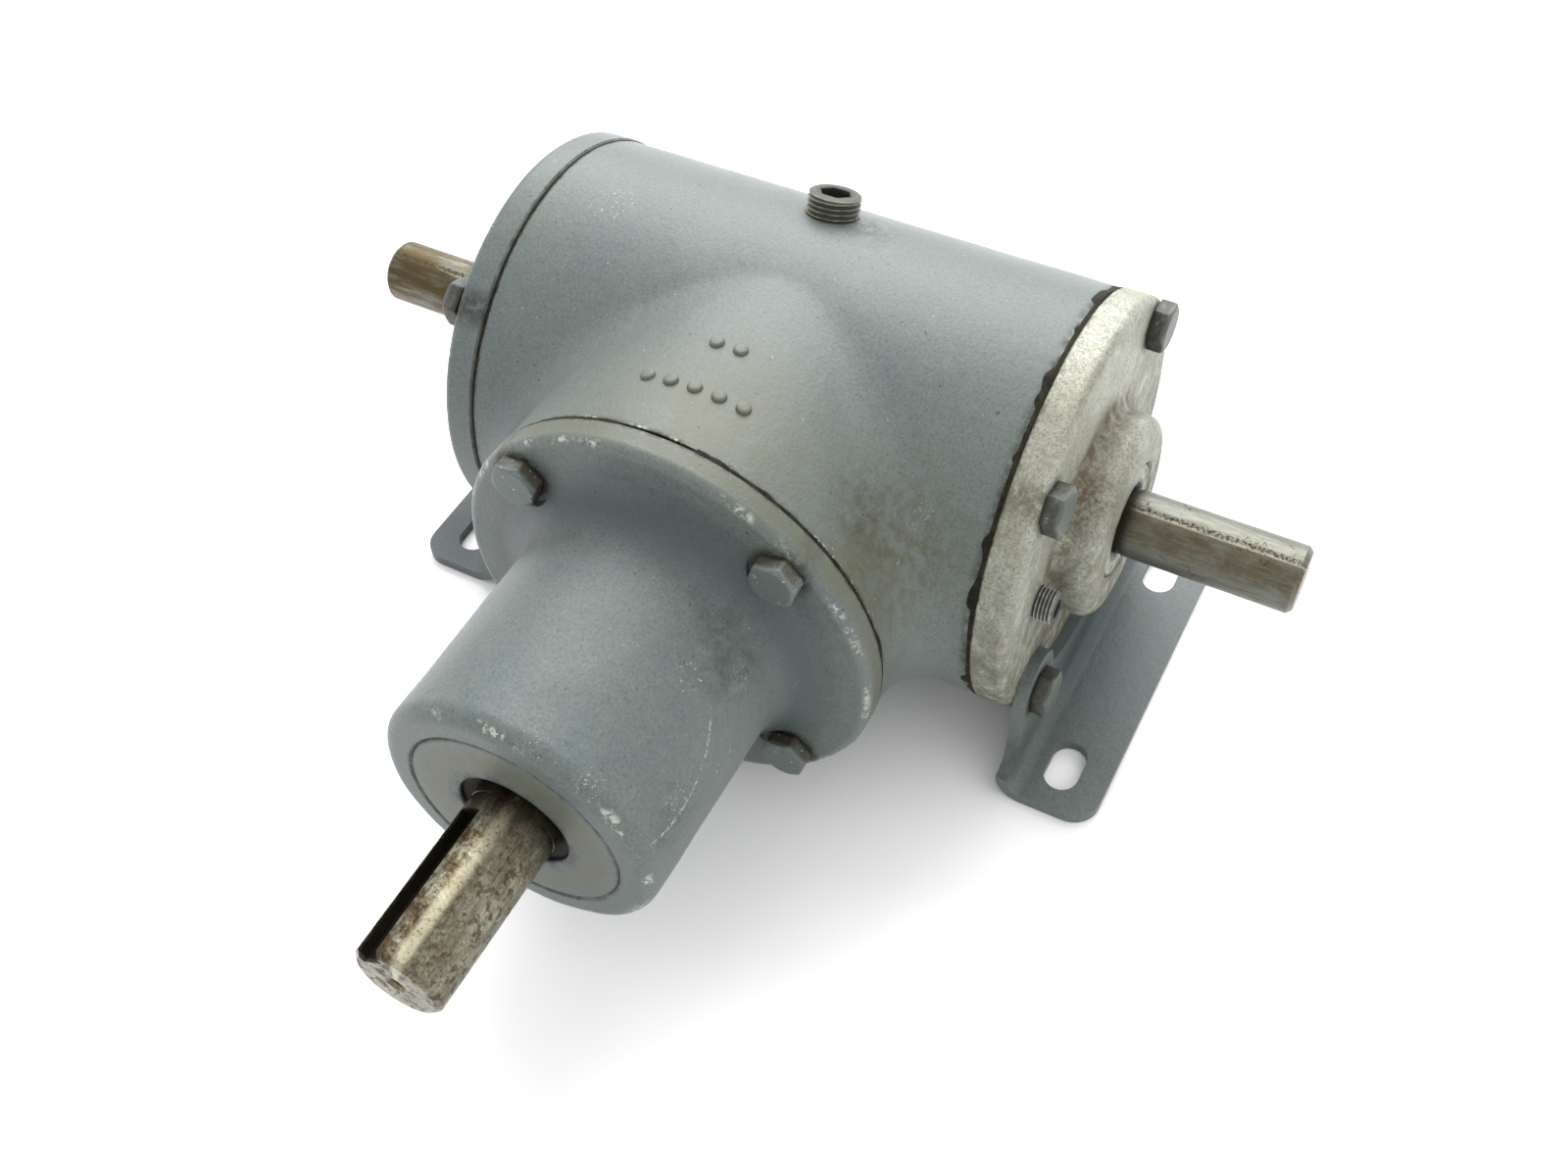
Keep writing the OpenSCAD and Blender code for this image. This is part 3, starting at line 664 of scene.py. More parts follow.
def plain_metal(name, color, dark, rough, metallic=1.0):
    """Oiled metal of the inner pieces"""
    look = Look(name, metallic=metallic)
    cloud = look.noise(6, 4, 0.6)
    fine = look.noise(0.7, 2, 0.6)
    mixed = look.mix(look.times(look.step(cloud, 0.45, 0.7), 0.5), color, dark)
    look.bump(fine, 0.01)
    return look.done(mixed, look.math("ADD", rough, look.times(fine, 0.12)))


def rubber():
    look = Look("greasy_rubber")
    film = look.noise(4, 4, 0.6)
    color = look.mix(look.step(film, 0.4, 0.65), tone(16, 13, 9), tone(34, 26, 15))
    look.bump(look.noise(0.8, 2, 0.5), 0.03)
    look.shader.inputs["Specular IOR Level"].default_value = 0.2
    return look.done(color, look.math("ADD", 0.5, look.times(film, 0.3)))


def hub_seal_look():
    """Light metal face between a dark outline and a greasy lip"""
    look = Look("hub_seal_face", metallic=0.3)
    film = look.noise(3, 4, 0.6)
    color = look.mix(look.step(film, 0.42, 0.7), tone(132, 134, 122), tone(96, 92, 74))
    radius = look.radius("Y")
    outline = look.most(look.step(radius, (CROSS_SEAL_R - 1.3) * MM, (CROSS_SEAL_R - 0.7) * MM),
                        look.less(look.step(radius, (CROSS_R + 2.2) * MM, (CROSS_R + 3.2) * MM)))
    color = look.mix(look.times(outline, 0.92), color, tone(22, 19, 14))
    look.bump(film, 0.03)
    return look.done(color, look.math("ADD", 0.36, look.times(film, 0.25)))


def marked(axis, at, radius, reach):
    return lambda look: look.ring(axis, at, radius, reach)


def spot(centre, reach):
    return lambda look: look.patch(centre, reach)


# ---- Housing --------------------------------------------------------------------

def casting_distance(points):
    """Distance to the skin of the drum and the branch, with a smooth blend between
    them that fades out where the two run into each other without a corner"""
    x, y, z = points.T
    from_cross = np.hypot(x, z)
    from_pinion = np.hypot(y, z)
    drum = from_cross - DRUM_R
    taper = np.clip(1 - x / FACE_AT, 0, 1) * BRANCH_TAPER
    branch = np.maximum(from_pinion - (BRANCH_R - taper), -x)
    slope = z * z / np.maximum(from_cross * from_pinion, 1e-6)
    reach = 4 * BLEND_R * (1 - np.sqrt((1 + slope) / 2)) + 1e-6
    share = np.clip(reach - np.abs(drum - branch), 0, None) / reach
    return np.minimum(drum, branch) - share * share * reach / 4


def onto_casting(mesh, rounds=6):
    """Moves every vertex onto the skin of the casting"""
    points = np.empty(len(mesh.vertices) * 3)
    mesh.vertices.foreach_get("co", points)
    points = points.reshape(-1, 3)
    nudge = 0.01
    for _ in range(rounds):
        here = casting_distance(points)
        slope = np.stack([
            (casting_distance(points + axis * nudge) - here) / nudge
            for axis in np.eye(3)], axis=1)
        size = np.maximum((slope ** 2).sum(1, keepdims=True), 0.25)
        points -= np.clip(here, -4, 4)[:, None] * slope / size
    mesh.vertices.foreach_set("co", points.ravel())
    mesh.update()
    return mesh


def foundry_dots():
    """Small raised dots in two rows on top of the branch"""
    dot_r, dot_h, spacing = 2.1, 1.0, 7.2
    dome = lathe([(0, -2), (dot_r + 0.5, -2), (dot_r, 0.1)]
                 + arc(dot_r - 0.9, dot_h - 0.9, 0.9, 20, 90, 4) + [(0, dot_h)], 24)
    places = [(43, i) for i in (-0.5, 0.5)] + [(61, i) for i in (-2, -1, 0, 1, 2)]
    dots = []
    for x, i in places:
        radius = BRANCH_R - BRANCH_TAPER * (1 - x / FACE_AT)
        turn = Matrix.Rotation(-i * spacing / radius, 4, "X")
        dots.append(moved(dome, turn @ Matrix.Translation((x, 0, radius))))
    return dots


def housing_mesh():
    extra = 4
    rough_cast = shaped(rod(DRUM_R, -FACE_AT - extra, FACE_AT + extra, 96), [])
    rough_cast.transform(LIFT.inverted() @ ALONG_RIGHT)
    branch = moved(rod(BRANCH_R, 0, FACE_AT + extra, 96), LIFT.inverted() @ ALONG_X)
    coarse = ("REMESH", {"mode": "VOXEL", "voxel_size": 3.0})
    dense = ("REMESH", {"mode": "VOXEL", "voxel_size": 1.7})
    body = shaped(rough_cast, [boolean("UNION", branch), coarse])
    body = shaped(onto_casting(body), [dense])
    body = onto_casting(body)
    weathered(body, 0.22, 17)
    body = shaped(body, [boolean("UNION", dot) for dot in foundry_dots()])
    far = 2 * FACE_AT
    body = shaped(body, [boolean("INTERSECT", block((-far, -FACE_AT, -far),
                                                    (FACE_AT, FACE_AT, far)))])
    body.transform(LIFT)
    inner_r = DRUM_R - WALL
    ring_at = FACE_AT - RING_DEPTH
    over = 1
    cutters = [
        moved(rod(inner_r, -ring_at, ring_at, 96), ALONG_RIGHT),
        moved(rod(OPENING_R, -FACE_AT - over, FACE_AT + over, 96), ALONG_RIGHT),
        moved(rod(inner_r - 1, 0, ring_at, 96), ALONG_X),
        moved(rod(OPENING_R, 1, FACE_AT + over, 96), ALONG_X),
        moved(rod(FILL_R, DRUM_R - WALL - 2, DRUM_R + 4), FILL_AXIS)]
    hole = rod(BOLT_R, ring_at + 2, FACE_AT + over, 32)
    for way in (ALONG_X, ALONG_RIGHT, ALONG_LEFT):
        cutters += [moved(m, way) for m in at_bolts(hole)]
    return cut(body, cutters)


def build_housing():
    look = paint(
        "housing_paint_casting",
        seams=[marked("Y", FACE_AT, DRUM_R, 3.4), marked("Y", -FACE_AT, DRUM_R, 1.0),
               marked("X", FACE_AT, BRANCH_R, 1.6)],
        edges=[marked("X", FACE_AT, BRANCH_R, 1.2)],
        worn=[spot((70, 8, AXIS_H + 62), 52), spot((78, 50, AXIS_H + 30), 32)],
        grimy=[spot((62, 48, AXIS_H + 38), 20), spot((-20, 10, AXIS_H + 59), 15)],
        streaked=[spot((60, 56, AXIS_H + 26), 36)],
        scuffed=[spot((4, -60, AXIS_H + 61), 10), spot((48, 60, AXIS_H + 30), 12)])
    piece("housing_casting", housing_mesh(), look, ["housing"])


# ---- Covers ---------------------------------------------------------------------

def cover_mesh(with_level_hole):
    rim_round, nose_round, hub_blend = 2.6, 5, 3.4
    spigot_r, boss_r, bore_r = OPENING_R - 0.05, 30.5, 23.5
    bearing_at = COVER_AT - 14
    in_round = COVER_FACE - rim_round
    outline = (
        [(bore_r, bearing_at), (boss_r, bearing_at), (boss_r, COVER_AT - 4),
         (spigot_r - 5, COVER_AT - 4), (spigot_r - 5, COVER_AT - 6),
         (spigot_r, COVER_AT - 6), (spigot_r, COVER_AT)]
        + [(COVER_R - 0.5, COVER_AT), (COVER_R, COVER_AT + 0.5)]
        + arc(COVER_R - rim_round, in_round, rim_round, 0, 90, 8)
        + finely([(COVER_R - rim_round - 0.5, COVER_FACE),
                  (HUB_R + hub_blend + 0.5, COVER_FACE)], 3)
        + arc(HUB_R + hub_blend, COVER_FACE + hub_blend, hub_blend, 270, 180, 10)
        + arc(HUB_R - nose_round, HUB_END - nose_round, nose_round, 0, 90, 8)
        + [(CROSS_SEAL_R + 0.7, HUB_END), (CROSS_SEAL_R, HUB_END - 0.6),
           (CROSS_SEAL_R, HUB_END - 7.5), (CROSS_R - 1 + 5, HUB_END - 7.5),
           (bore_r - 5, COVER_AT + 3), (bore_r - 5, COVER_AT), (bore_r, COVER_AT)])
    mesh = lathe(outline)
    weathered(mesh, 0.07, 14, lambda co: co.z > COVER_AT + 1 and math.hypot(co.x, co.y) > HUB_R - 6)
    cutters = at_bolts(rod(BOLT_R + 0.5, COVER_AT - 1, COVER_FACE + 2, 32))
    if with_level_hole:
        cutters.append(moved(rod(LEVEL_R, COVER_AT - 1, COVER_FACE + 2, 32),
                             Matrix.Translation((LEVEL_X, 0, 0))))
    return cut(mesh, cutters)


def build_covers():
    left_look = paint(
        "housing_paint_left_cover",
        seams=[marked("Y", -COVER_AT, COVER_R, 1.0), marked("Y", -COVER_FACE, HUB_R + 4, 5)],
        edges=[marked("Y", 1 - COVER_FACE, COVER_R - 1, 1.8)],
        bolts=("Y", COVER_FACE))
    piece("left_cover", moved(cover_mesh(False), ALONG_LEFT), left_look,
          ["left_end_cover"])
    piece("right_cover", moved(cover_mesh(True), ALONG_RIGHT), cast_aluminium(),
          ["right_end_cover"])


def bead_mesh(radius, stands, spreads, seed, lumpy):
    """Gasket with an irregular bead of sealant along its outer edge, which lies
    over the edge of the casting behind it"""
    count = 420
    start = Vector((seed, 0, 0))
    low, high = FACE_AT, COVER_AT
    profiles = []
    for i in range(count):
        a = 2 * math.pi * i / count
        way = Vector((math.cos(a), math.sin(a), 0))
        slow = noise.noise(way * 5 + start)
        quick = noise.noise(way * 12 + start)
        blob = max(0, slow + 0.7 * quick - 0.12) * lumpy
        tall = stands * (0.45 + min(blob * 2.2, 1.25))
        tall = min(tall, (COVER_R - 0.05) / max(-way.x, 0.9) - radius)
        wide = spreads * (0.25 + 1.3 * math.tanh(blob * 2.2))
        wide += 0.15 * noise.noise(way * 50 + start)
        wide = max(wide, 0.1)
        profiles.append([
            (OPENING_R, low), (OPENING_R, high), (radius - 0.4, high),
            (radius + tall * 0.6, high - 0.05), (radius + tall, high - 0.45),
            (radius + tall * 0.95, low - wide * 0.35),
            (radius + tall * 0.55, low - wide * 0.8), (radius - 0.25, low - wide),
            (radius - 0.6, low - wide * 0.5), (radius - 0.6, low)])
    rings = []
    for k in range(len(profiles[0])):
        rings.append([(r * math.cos(2 * math.pi * i / count),
                       r * math.sin(2 * math.pi * i / count), h)
                      for i, (r, h) in enumerate(p[k] for p in profiles)])
    mesh = skin(rings, loop=True)
    return cut(mesh, at_bolts(rod(BOLT_R + 0.5, low - 1, high + 1, 24)))


def build_gaskets():
    look = sealant()
    right = bead_mesh(DRUM_R, 0.42, 1.7, 3.1, 1.0)
    left = bead_mesh(DRUM_R, 0.16, 0.35, 8.6, 0.4)
    front = bead_mesh(BRANCH_R, 0.20, 0.6, 5.4, 0.7)
    piece("right_gasket", moved(right, ALONG_RIGHT), look, ["right_cover_gasket"])
    piece("left_gasket", moved(left, ALONG_LEFT), look, ["left_cover_gasket"])
    piece("flange_gasket", moved(front, ALONG_X), look, ["pinion_flange_gasket"])


# ---- Pinion housing and seals ---------------------------------------------------

def pinion_housing_mesh():
    edge_round, end_round = 3, 5
    rim_at = FLANGE_FACE - edge_round
    spigot_r, shoulder = OPENING_R - 0.05, PINION_SEAL_R - 4
    bore_r = PINION_SEAL_R
    rear_at, rear_end, front_at = 70, 87, 137.5
    ring_from, ring_to, ring_r = 154.5, 156.5, PINION_SEAL_R + 1.5
    outline = (
        [(bore_r, rear_at - 2), (spigot_r, rear_at - 2), (spigot_r, COVER_AT)]
        + [(FLANGE_R - 0.4, COVER_AT), (FLANGE_R, COVER_AT + 0.4)]
        + arc(FLANGE_R - edge_round, rim_at, edge_round, 0, 90, 9)
        + arc(QUILL_R + QUILL_BLEND, FLANGE_FACE + QUILL_BLEND, QUILL_BLEND, 270, 180, 14)
        + finely([(QUILL_R, FLANGE_FACE + QUILL_BLEND + 1),
                  (QUILL_R, QUILL_END - end_round - 1)], 3)
        + arc(QUILL_R - end_round, QUILL_END - end_round, end_round, 0, 90, 10)
        + [(bore_r + 0.7, QUILL_END), (bore_r, QUILL_END - 0.7), (bore_r, ring_to),
           (ring_r, ring_to), (ring_r, ring_from), (bore_r, ring_from),
           (bore_r, front_at), (shoulder, front_at), (shoulder, rear_end),
           (bore_r, rear_end)])
    mesh = lathe(outline, 180)
    weathered(mesh, 0.20, 13,
              lambda co: co.z > COVER_AT + 1 and math.hypot(co.x, co.y) > bore_r + 2)
    spot_r = BOLT_AF / 2 + 2.6
    cutters = at_bolts(rod(BOLT_R + 0.5, COVER_AT - 1, FLANGE_FACE + 2, 32))
    cutters += at_bolts(lathe([(0, FLANGE_FACE), (spot_r - 0.8, FLANGE_FACE),
                               (spot_r - 0.2, FLANGE_FACE + 0.25), (spot_r, FLANGE_FACE + 0.9),
                               (spot_r, FLANGE_FACE + QUILL_BLEND + 1),
                               (0, FLANGE_FACE + QUILL_BLEND + 1)], 48))
    return cut(mesh, cutters)


def build_pinion_housing():
    look = paint(
        "housing_paint_pinion",
        seams=[marked("X", COVER_AT, FLANGE_R, 1.6), marked("X", QUILL_END, PINION_SEAL_R, 1.4)],
        edges=[marked("X", FLANGE_FACE - 1, FLANGE_R - 1, 1.7),
               marked("X", QUILL_END - 1.2, QUILL_R - 1.5, 2.4)],
        worn=[marked("X", COVER_AT + 3, FLANGE_R, 6)],
        grimy=[spot((108, 34, AXIS_H + 24), 22), spot((150, 36, AXIS_H + 10), 16)],
        scuffed=[spot((121, 30, AXIS_H + 28), 7), spot((126, 40, AXIS_H + 2), 8),
                 spot((146, 39, AXIS_H + 12), 9), spot((107, 37, AXIS_H + 16), 6),
                 spot((161, 25, AXIS_H + 31), 7), spot((161, 11, AXIS_H + 39), 7)],
        scored=[((146, 21, AXIS_H + 33), 31, (138, 44, AXIS_H + 4), 34)],
        # deep: painted shade in the concave fillet between the flange and the quill.
        deep=[marked("X", FLANGE_FACE + 3, QUILL_R + 5, 13)],
        bolts=("X", FLANGE_FACE))
    piece("pinion_bearing_housing", moved(pinion_housing_mesh(), ALONG_X), look,
          ["pinion_housing"])


def seal_case_mesh():
    outer = PINION_SEAL_R - 0.02
    thick, back = 1.4, QUILL_END - 7
    front = QUILL_END - 0.15
    return lathe(
        [(SEAL_HOLE_R + 0.4, front - thick), (outer - thick, front - thick),
         (outer - thick, back), (outer - 0.3, back), (outer, back + 0.5)]
        + arc(outer - 0.9, front - 0.9, 0.9, 0, 90, 5)
        + finely([(outer - 2, front), (SEAL_HOLE_R + 2, front)], 4)
        + arc(SEAL_HOLE_R + 0.9, front - 0.7, 0.7, 90, 180, 4), 128)


def seal_lip_mesh(shaft_r, band_r, face):
    """Rubber lip with a dust lip in front, from a band behind the case's face"""
    tip = shaft_r + 0.05
    return lathe(
        [(band_r, face - 1.6), (band_r, face - 0.1), (shaft_r + 3.4, face - 0.1),
         (shaft_r + 2.4, face - 0.5), (tip + 0.25, face - 1.4), (tip, face - 1.7),
         (tip + 0.35, face - 2.0), (shaft_r + 1.5, face - 2.2), (tip + 0.4, face - 3.3),
         (tip, face - 3.6), (tip + 0.5, face - 4.2), (shaft_r + 2.6, face - 4.5),
         (shaft_r + 3.1, face - 3.6), (shaft_r + 3.1, face - 2.1),
         (shaft_r + 3.9, face - 1.6)], 96)


def cross_seal_mesh():
    face = HUB_END - 0.5
    outer, tip = CROSS_SEAL_R - 0.02, CROSS_R + 0.05
    return lathe(
        [(tip + 0.3, face - 1.6), (tip, face - 1.9), (tip + 0.5, face - 2.3),
         (CROSS_R + 1.5, face - 2.6), (tip + 0.3, face - 4.4), (tip, face - 4.8),
         (tip + 0.6, face - 5.6), (CROSS_R + 2.6, face - 5.8), (CROSS_R + 3, face - 4.6),
         (CROSS_R + 2.8, face - 2.4), (outer - 1.6, face - 1.8), (outer - 1.6, face - 7),
         (outer, face - 7), (outer, face - 0.5), (outer - 0.5, face),
         (outer - 1.6, face), (outer - 2.0, face - 0.25), (CROSS_R + 3.2, face - 0.25),
         (CROSS_R + 2.6, face), (CROSS_R + 1.6, face - 0.2)], 96)


def build_seals():
    case_look = paint(
        "housing_paint_seal",
        seams=[marked("X", QUILL_END, PINION_SEAL_R, 1.3)],
        worn=[marked("X", QUILL_END, 24, 9)],
        grimy=[marked("X", QUILL_END, SEAL_HOLE_R, 6)],
        # deep: painted shade at the edge of the seal case's hole.
        deep=[marked("X", QUILL_END - 1, SEAL_HOLE_R, 2.4)])
    dark, seal_face = rubber(), hub_seal_look()
    piece("pinion_seal_metal_case", moved(seal_case_mesh(), ALONG_X), case_look,
          ["pinion_seal_case"])
    lip = seal_lip_mesh(PINION_R, PINION_SEAL_R - 1.5, QUILL_END - 1.5)
    piece("pinion_seal_rubber_lip", moved(lip, ALONG_X), dark,
          ["pinion_seal_lip"])
    for side, way in (("left", ALONG_LEFT), ("right", ALONG_RIGHT)):
        piece(side + "_hub_seal", moved(cross_seal_mesh(), way), seal_face,
              [side + "_shaft_seal"])


# ---- Shafts ---------------------------------------------------------------------

CHAMFER = 1.3
RELIEF = 0.25
GEAR_SEAT_R = 13
SEAT_AT = COVER_AT - 14
COLLAR_R = 17
GEAR_FRONT = 28.76
KEYWAY_LEN = 44


def free_end(radius, hub_at, end_at):
    """Outline of a shaft's free end from its groove at the hub to its chamfer"""
    soft = 0.2
    return [(radius, hub_at + 0.3), (radius - RELIEF, hub_at + 0.4),
            (radius - RELIEF, hub_at + 1.2), (radius, hub_at + 1.3),
            (radius, end_at - CHAMFER - soft), (radius - soft / 2, end_at - CHAMFER),
            (radius - CHAMFER, end_at - soft / 2), (radius - CHAMFER - soft, end_at)]


def keyway(radius, width, depth, start, stop, turn):
    """Cutter for a keyway on the side of a shaft, turned about the shaft"""
    slot = block((radius - depth, -width / 2, start), (radius + 2, width / 2, stop))
    return moved(slot, Matrix.Rotation(math.radians(turn), 4, "Z"))


def cross_shaft_mesh():
    right = free_end(CROSS_R, HUB_END, CROSS_REACH)
    left = [(r, -h) for r, h in reversed(right)]
    mesh = lathe(
        [(0, -CROSS_REACH)] + left
        + [(CROSS_R, -SEAT_AT), (GEAR_SEAT_R, -SEAT_AT), (GEAR_SEAT_R, GEAR_FRONT - 8),
           (COLLAR_R, GEAR_FRONT - 8), (COLLAR_R, GEAR_FRONT), (GEAR_SEAT_R, GEAR_FRONT),
           (GEAR_SEAT_R, SEAT_AT), (CROSS_R, SEAT_AT)]
        + right + [(0, CROSS_REACH)], 128)
    slot_from = CROSS_REACH - 32
    return cut(mesh, [
        keyway(CROSS_R, 6, 3.5, slot_from, CROSS_REACH + 1, 180),
        keyway(CROSS_R, 6, 3.5, -CROSS_REACH - 1, -slot_from, 180),
        keyway(GEAR_SEAT_R, 8, 4, 34, 52, 0)])


def pinion_shaft_mesh():
    shoulder_r, rear_end, front_at, drill_r = 15.5, 87, 137.5, 3
    mesh = lathe(
        [(0, 24), (PINION_R - CHAMFER, 24), (PINION_R, 24 + CHAMFER),
         (PINION_R, GEAR_FRONT - 1.5), (PINION_R - 0.8, GEAR_FRONT - 1.5),
         (PINION_R - 0.8, GEAR_FRONT), (PINION_R, GEAR_FRONT), (PINION_R, rear_end),
         (shoulder_r, rear_end), (shoulder_r, front_at), (PINION_R, front_at)]
        + free_end(PINION_R, QUILL_END, PINION_REACH)
        + [(drill_r, PINION_REACH), (drill_r - 0.4, PINION_REACH - 0.3),
           (0.9, PINION_REACH - 2.4), (0.9, PINION_REACH - 3.4), (0, PINION_REACH - 3.8)], 128)
    return cut(mesh, [
        keyway(PINION_R, 8, 4, PINION_REACH - KEYWAY_LEN, PINION_REACH + 1, 270 - 55),
        keyway(PINION_R, 8, 4, 34, 52, 0)])


def build_shafts():
    piece("through_shaft", moved(cross_shaft_mesh(), ALONG_RIGHT), cross_steel(),
          ["cross_shaft"], body="cross_shaft_set")
    piece("pinion_drive_shaft", moved(pinion_shaft_mesh(), ALONG_X), pinion_steel(),
          ["pinion_shaft"], body="pinion_shaft_set")


# ---- Bolts and plugs ------------------------------------------------------------

def hexagon(flat, angle, crisp=44):
    """Radius at an angle of a hexagon with slightly soft corners"""
    total = sum(max(math.cos(angle - math.radians(60 * side)), 0) ** crisp
                for side in range(6))
    return flat / total ** (1 / crisp)


def ring_of(count, radius_at, height_at):
    points = []
    for i in range(count):
        a = 2 * math.pi * i / count
        r = radius_at(a)
        points.append((r * math.cos(a), r * math.sin(a), height_at(a)))
    return points


def bolt_mesh(head_at, shank, turn):
    count, flat, slope = 72, BOLT_AF / 2, math.tan(math.radians(30))
    disc_r, top = 0.93 * flat, BOLT_HEAD
    shank_r = BOLT_R - 0.03

    def level(height):
        return lambda a: height

    def round_of(radius):
        return lambda a: radius

    def side(inset):
        return lambda a: hexagon(flat, a) - inset

    def chamfer(inset, below):
        return lambda a: top - (hexagon(flat, a) - inset - disc_r) * slope - below

    rings = [
        [(0, 0, -shank)],
        ring_of(count, round_of(shank_r - 0.7), level(-shank)),
        ring_of(count, round_of(shank_r), level(0.7 - shank)),
        ring_of(count, round_of(shank_r), level(0)),
        ring_of(count, side(0.35), level(0)),
        ring_of(count, side(0.06), level(0.12)),
        ring_of(count, side(0), level(0.45)),
        ring_of(count, side(0), chamfer(0, 0.45)),
        ring_of(count, side(0.05), chamfer(0.05, 0.14)),
        ring_of(count, side(0.3), chamfer(0.3, 0.03)),
        ring_of(count, round_of(disc_r - 0.05), level(top - 0.05)),
        ring_of(count, round_of(disc_r - 0.35), level(top)),
        ring_of(count, round_of(disc_r * 0.55), level(top)),
        [(0, 0, top)]]
    place = Matrix.Translation((0, 0, head_at)) @ Matrix.Rotation(math.radians(turn), 4, "Z")
    return moved(skin(rings), place)


def build_bolts():
    flange_look = bolt_paint("painted_bolt_flange", "X", FLANGE_FACE, PAINT,
                             tone(58, 52, 36), 0.10)
    cover_look = bolt_paint("painted_bolt_cover", "Y", COVER_FACE, tone(76, 81, 76),
                            tone(34, 34, 26), 0.05)
    foot_look = bolt_paint("painted_bolt_foot", "Y", COVER_FACE + PLATE_T, tone(72, 78, 73),
                           tone(48, 42, 28), 0.03)
    reach = 25
    groups = [
        ("flange_bolt_set", "pinion_flange_bolts", ALONG_X, UPPER + LOWER, FLANGE_FACE,
         reach, 12, flange_look),
        ("left_cover_bolt_set", "left_cover_bolts", ALONG_LEFT, UPPER, COVER_FACE,
         reach, 8, cover_look),
        ("right_cover_bolt_set", "right_cover_bolts", ALONG_RIGHT, UPPER, COVER_FACE,
         reach, 20, cover_look),
        ("left_foot_bolt_set", "left_foot_bolts", ALONG_LEFT, LOWER, COVER_FACE + PLATE_T,
         reach + PLATE_T, 15, foot_look),
        ("right_foot_bolt_set", "right_foot_bolts", ALONG_RIGHT, LOWER,
         COVER_FACE + PLATE_T, reach + PLATE_T, 5, foot_look)]
    for name, node, way, corners, head_at, shank, turn, look in groups:
        bolts = at_bolts(bolt_mesh(head_at, shank, turn), tuple(corners))
        piece(name, moved(joined(bolts), way), look, [node], crease=50)


def plug_mesh(radius, start, stop, flats, deep, pitch, thread_from):
    """Headless plug with a helical thread and a hexagon socket"""
    count, per_turn, cut_in = 72, 9, 0.13 * radius
    outer = radius - 0.03

    def level(height):
        return lambda a: height

    def round_of(inset):
        return lambda a: outer - inset

    def thread(height):
        def radius_at(a):
            wave = abs(2 * ((height / pitch - a / (2 * math.pi)) % 1) - 1)
            fade = min(1, max(0, (stop - 0.5 - height) / (0.7 * pitch)))
            return outer - cut_in * min(1, 1.35 * wave) * fade - 0.25 * (1 - fade)
        return radius_at

    def socket(inset):
        return lambda a: hexagon(flats / 2, a) + inset

    rings = [[(0, 0, start)],
             ring_of(count, round_of(0.8), level(start)),
             ring_of(count, round_of(0), level(start + 0.8))]
    rows = int((stop - 0.4 - thread_from) / pitch * per_turn)
    for row in range(rows + 1):
        height = thread_from + row * pitch / per_turn
        rings.append(ring_of(count, thread(height), level(height)))
    rings += [
        ring_of(count, round_of(0.9), level(stop)),
        ring_of(count, socket(0.5), level(stop)),
        ring_of(count, socket(0.05), level(stop - 0.4)),
        ring_of(count, socket(0), level(stop - deep)),
        [(0, 0, stop - deep - 0.8)]]
    return skin(rings)


def plug_look(name, color, crest, film, radius, across):
    """Blackened thread with rubbed crests and painted shade in the socket, where across
    gives the two distances from the plug's axis"""
    look = Look(name, metallic=0.35)
    cloud = look.noise(3, 4, 0.65)
    fine = look.noise(0.7, 3, 0.6)
    u, v = across(look)
    out = look.math("SQRT", look.math("ADD", look.times(u, u), look.times(v, v)))
    rubbed = look.step(out, (radius - 0.75) * MM, (radius - 0.15) * MM)
    # Painted shade, near black, in the hexagon socket.
    painted_socket_shade = look.less(look.step(out, 0.66 * radius * MM, 0.74 * radius * MM))
    mixed = look.mix(look.times(rubbed, look.step(cloud, 0.2, 0.5)), color, crest)
    mixed = look.mix(look.times(painted_socket_shade, 0.85), mixed, tone(16, 15, 12))
    mixed = look.mix(look.times(look.step(fine, 0.5, 0.7), 0.5), mixed, film)
    look.bump(fine, 0.05)
    return look.done(mixed, look.math("ADD", 0.36, look.times(fine, 0.3)))


def build_plugs():
    lean = math.radians(FILL_LEAN)

    def fill_across(look):
        level_way = look.times(look.x, math.cos(lean))
        rise_way = look.times(look.up, math.sin(lean))
        return look.math("ADD", level_way, rise_way), look.math("ADD", look.y, FILL_OFF * MM)

    def level_across(look):
        return look.math("SUBTRACT", look.x, LEVEL_X * MM), look.up

    fill = plug_mesh(FILL_R, 53, DRUM_R + 6.3, 8, 6, 1.5, DRUM_R - 3)
    level = plug_mesh(LEVEL_R, COVER_AT, COVER_FACE + 6, 5, 5, 1.05, COVER_FACE - 1.5)
    piece("fill_plug_screw", moved(fill, FILL_AXIS),
          plug_look("dark_steel_fill", tone(58, 58, 48), tone(116, 117, 104), tone(66, 64, 52),
                    FILL_R, fill_across),
          ["fill_plug"], crease=60)
    piece("level_plug_screw", moved(level, LEVEL_AXIS),
          plug_look("dark_steel_level", tone(34, 34, 29), tone(150, 152, 146), tone(52, 50, 42),
                    LEVEL_R, level_across),
          ["level_plug"], crease=60)


# ---- Feet -----------------------------------------------------------------------

BEND_OUT = 8.5
BEND_LEN = (BEND_OUT - PLATE_T / 2) * math.pi / 2


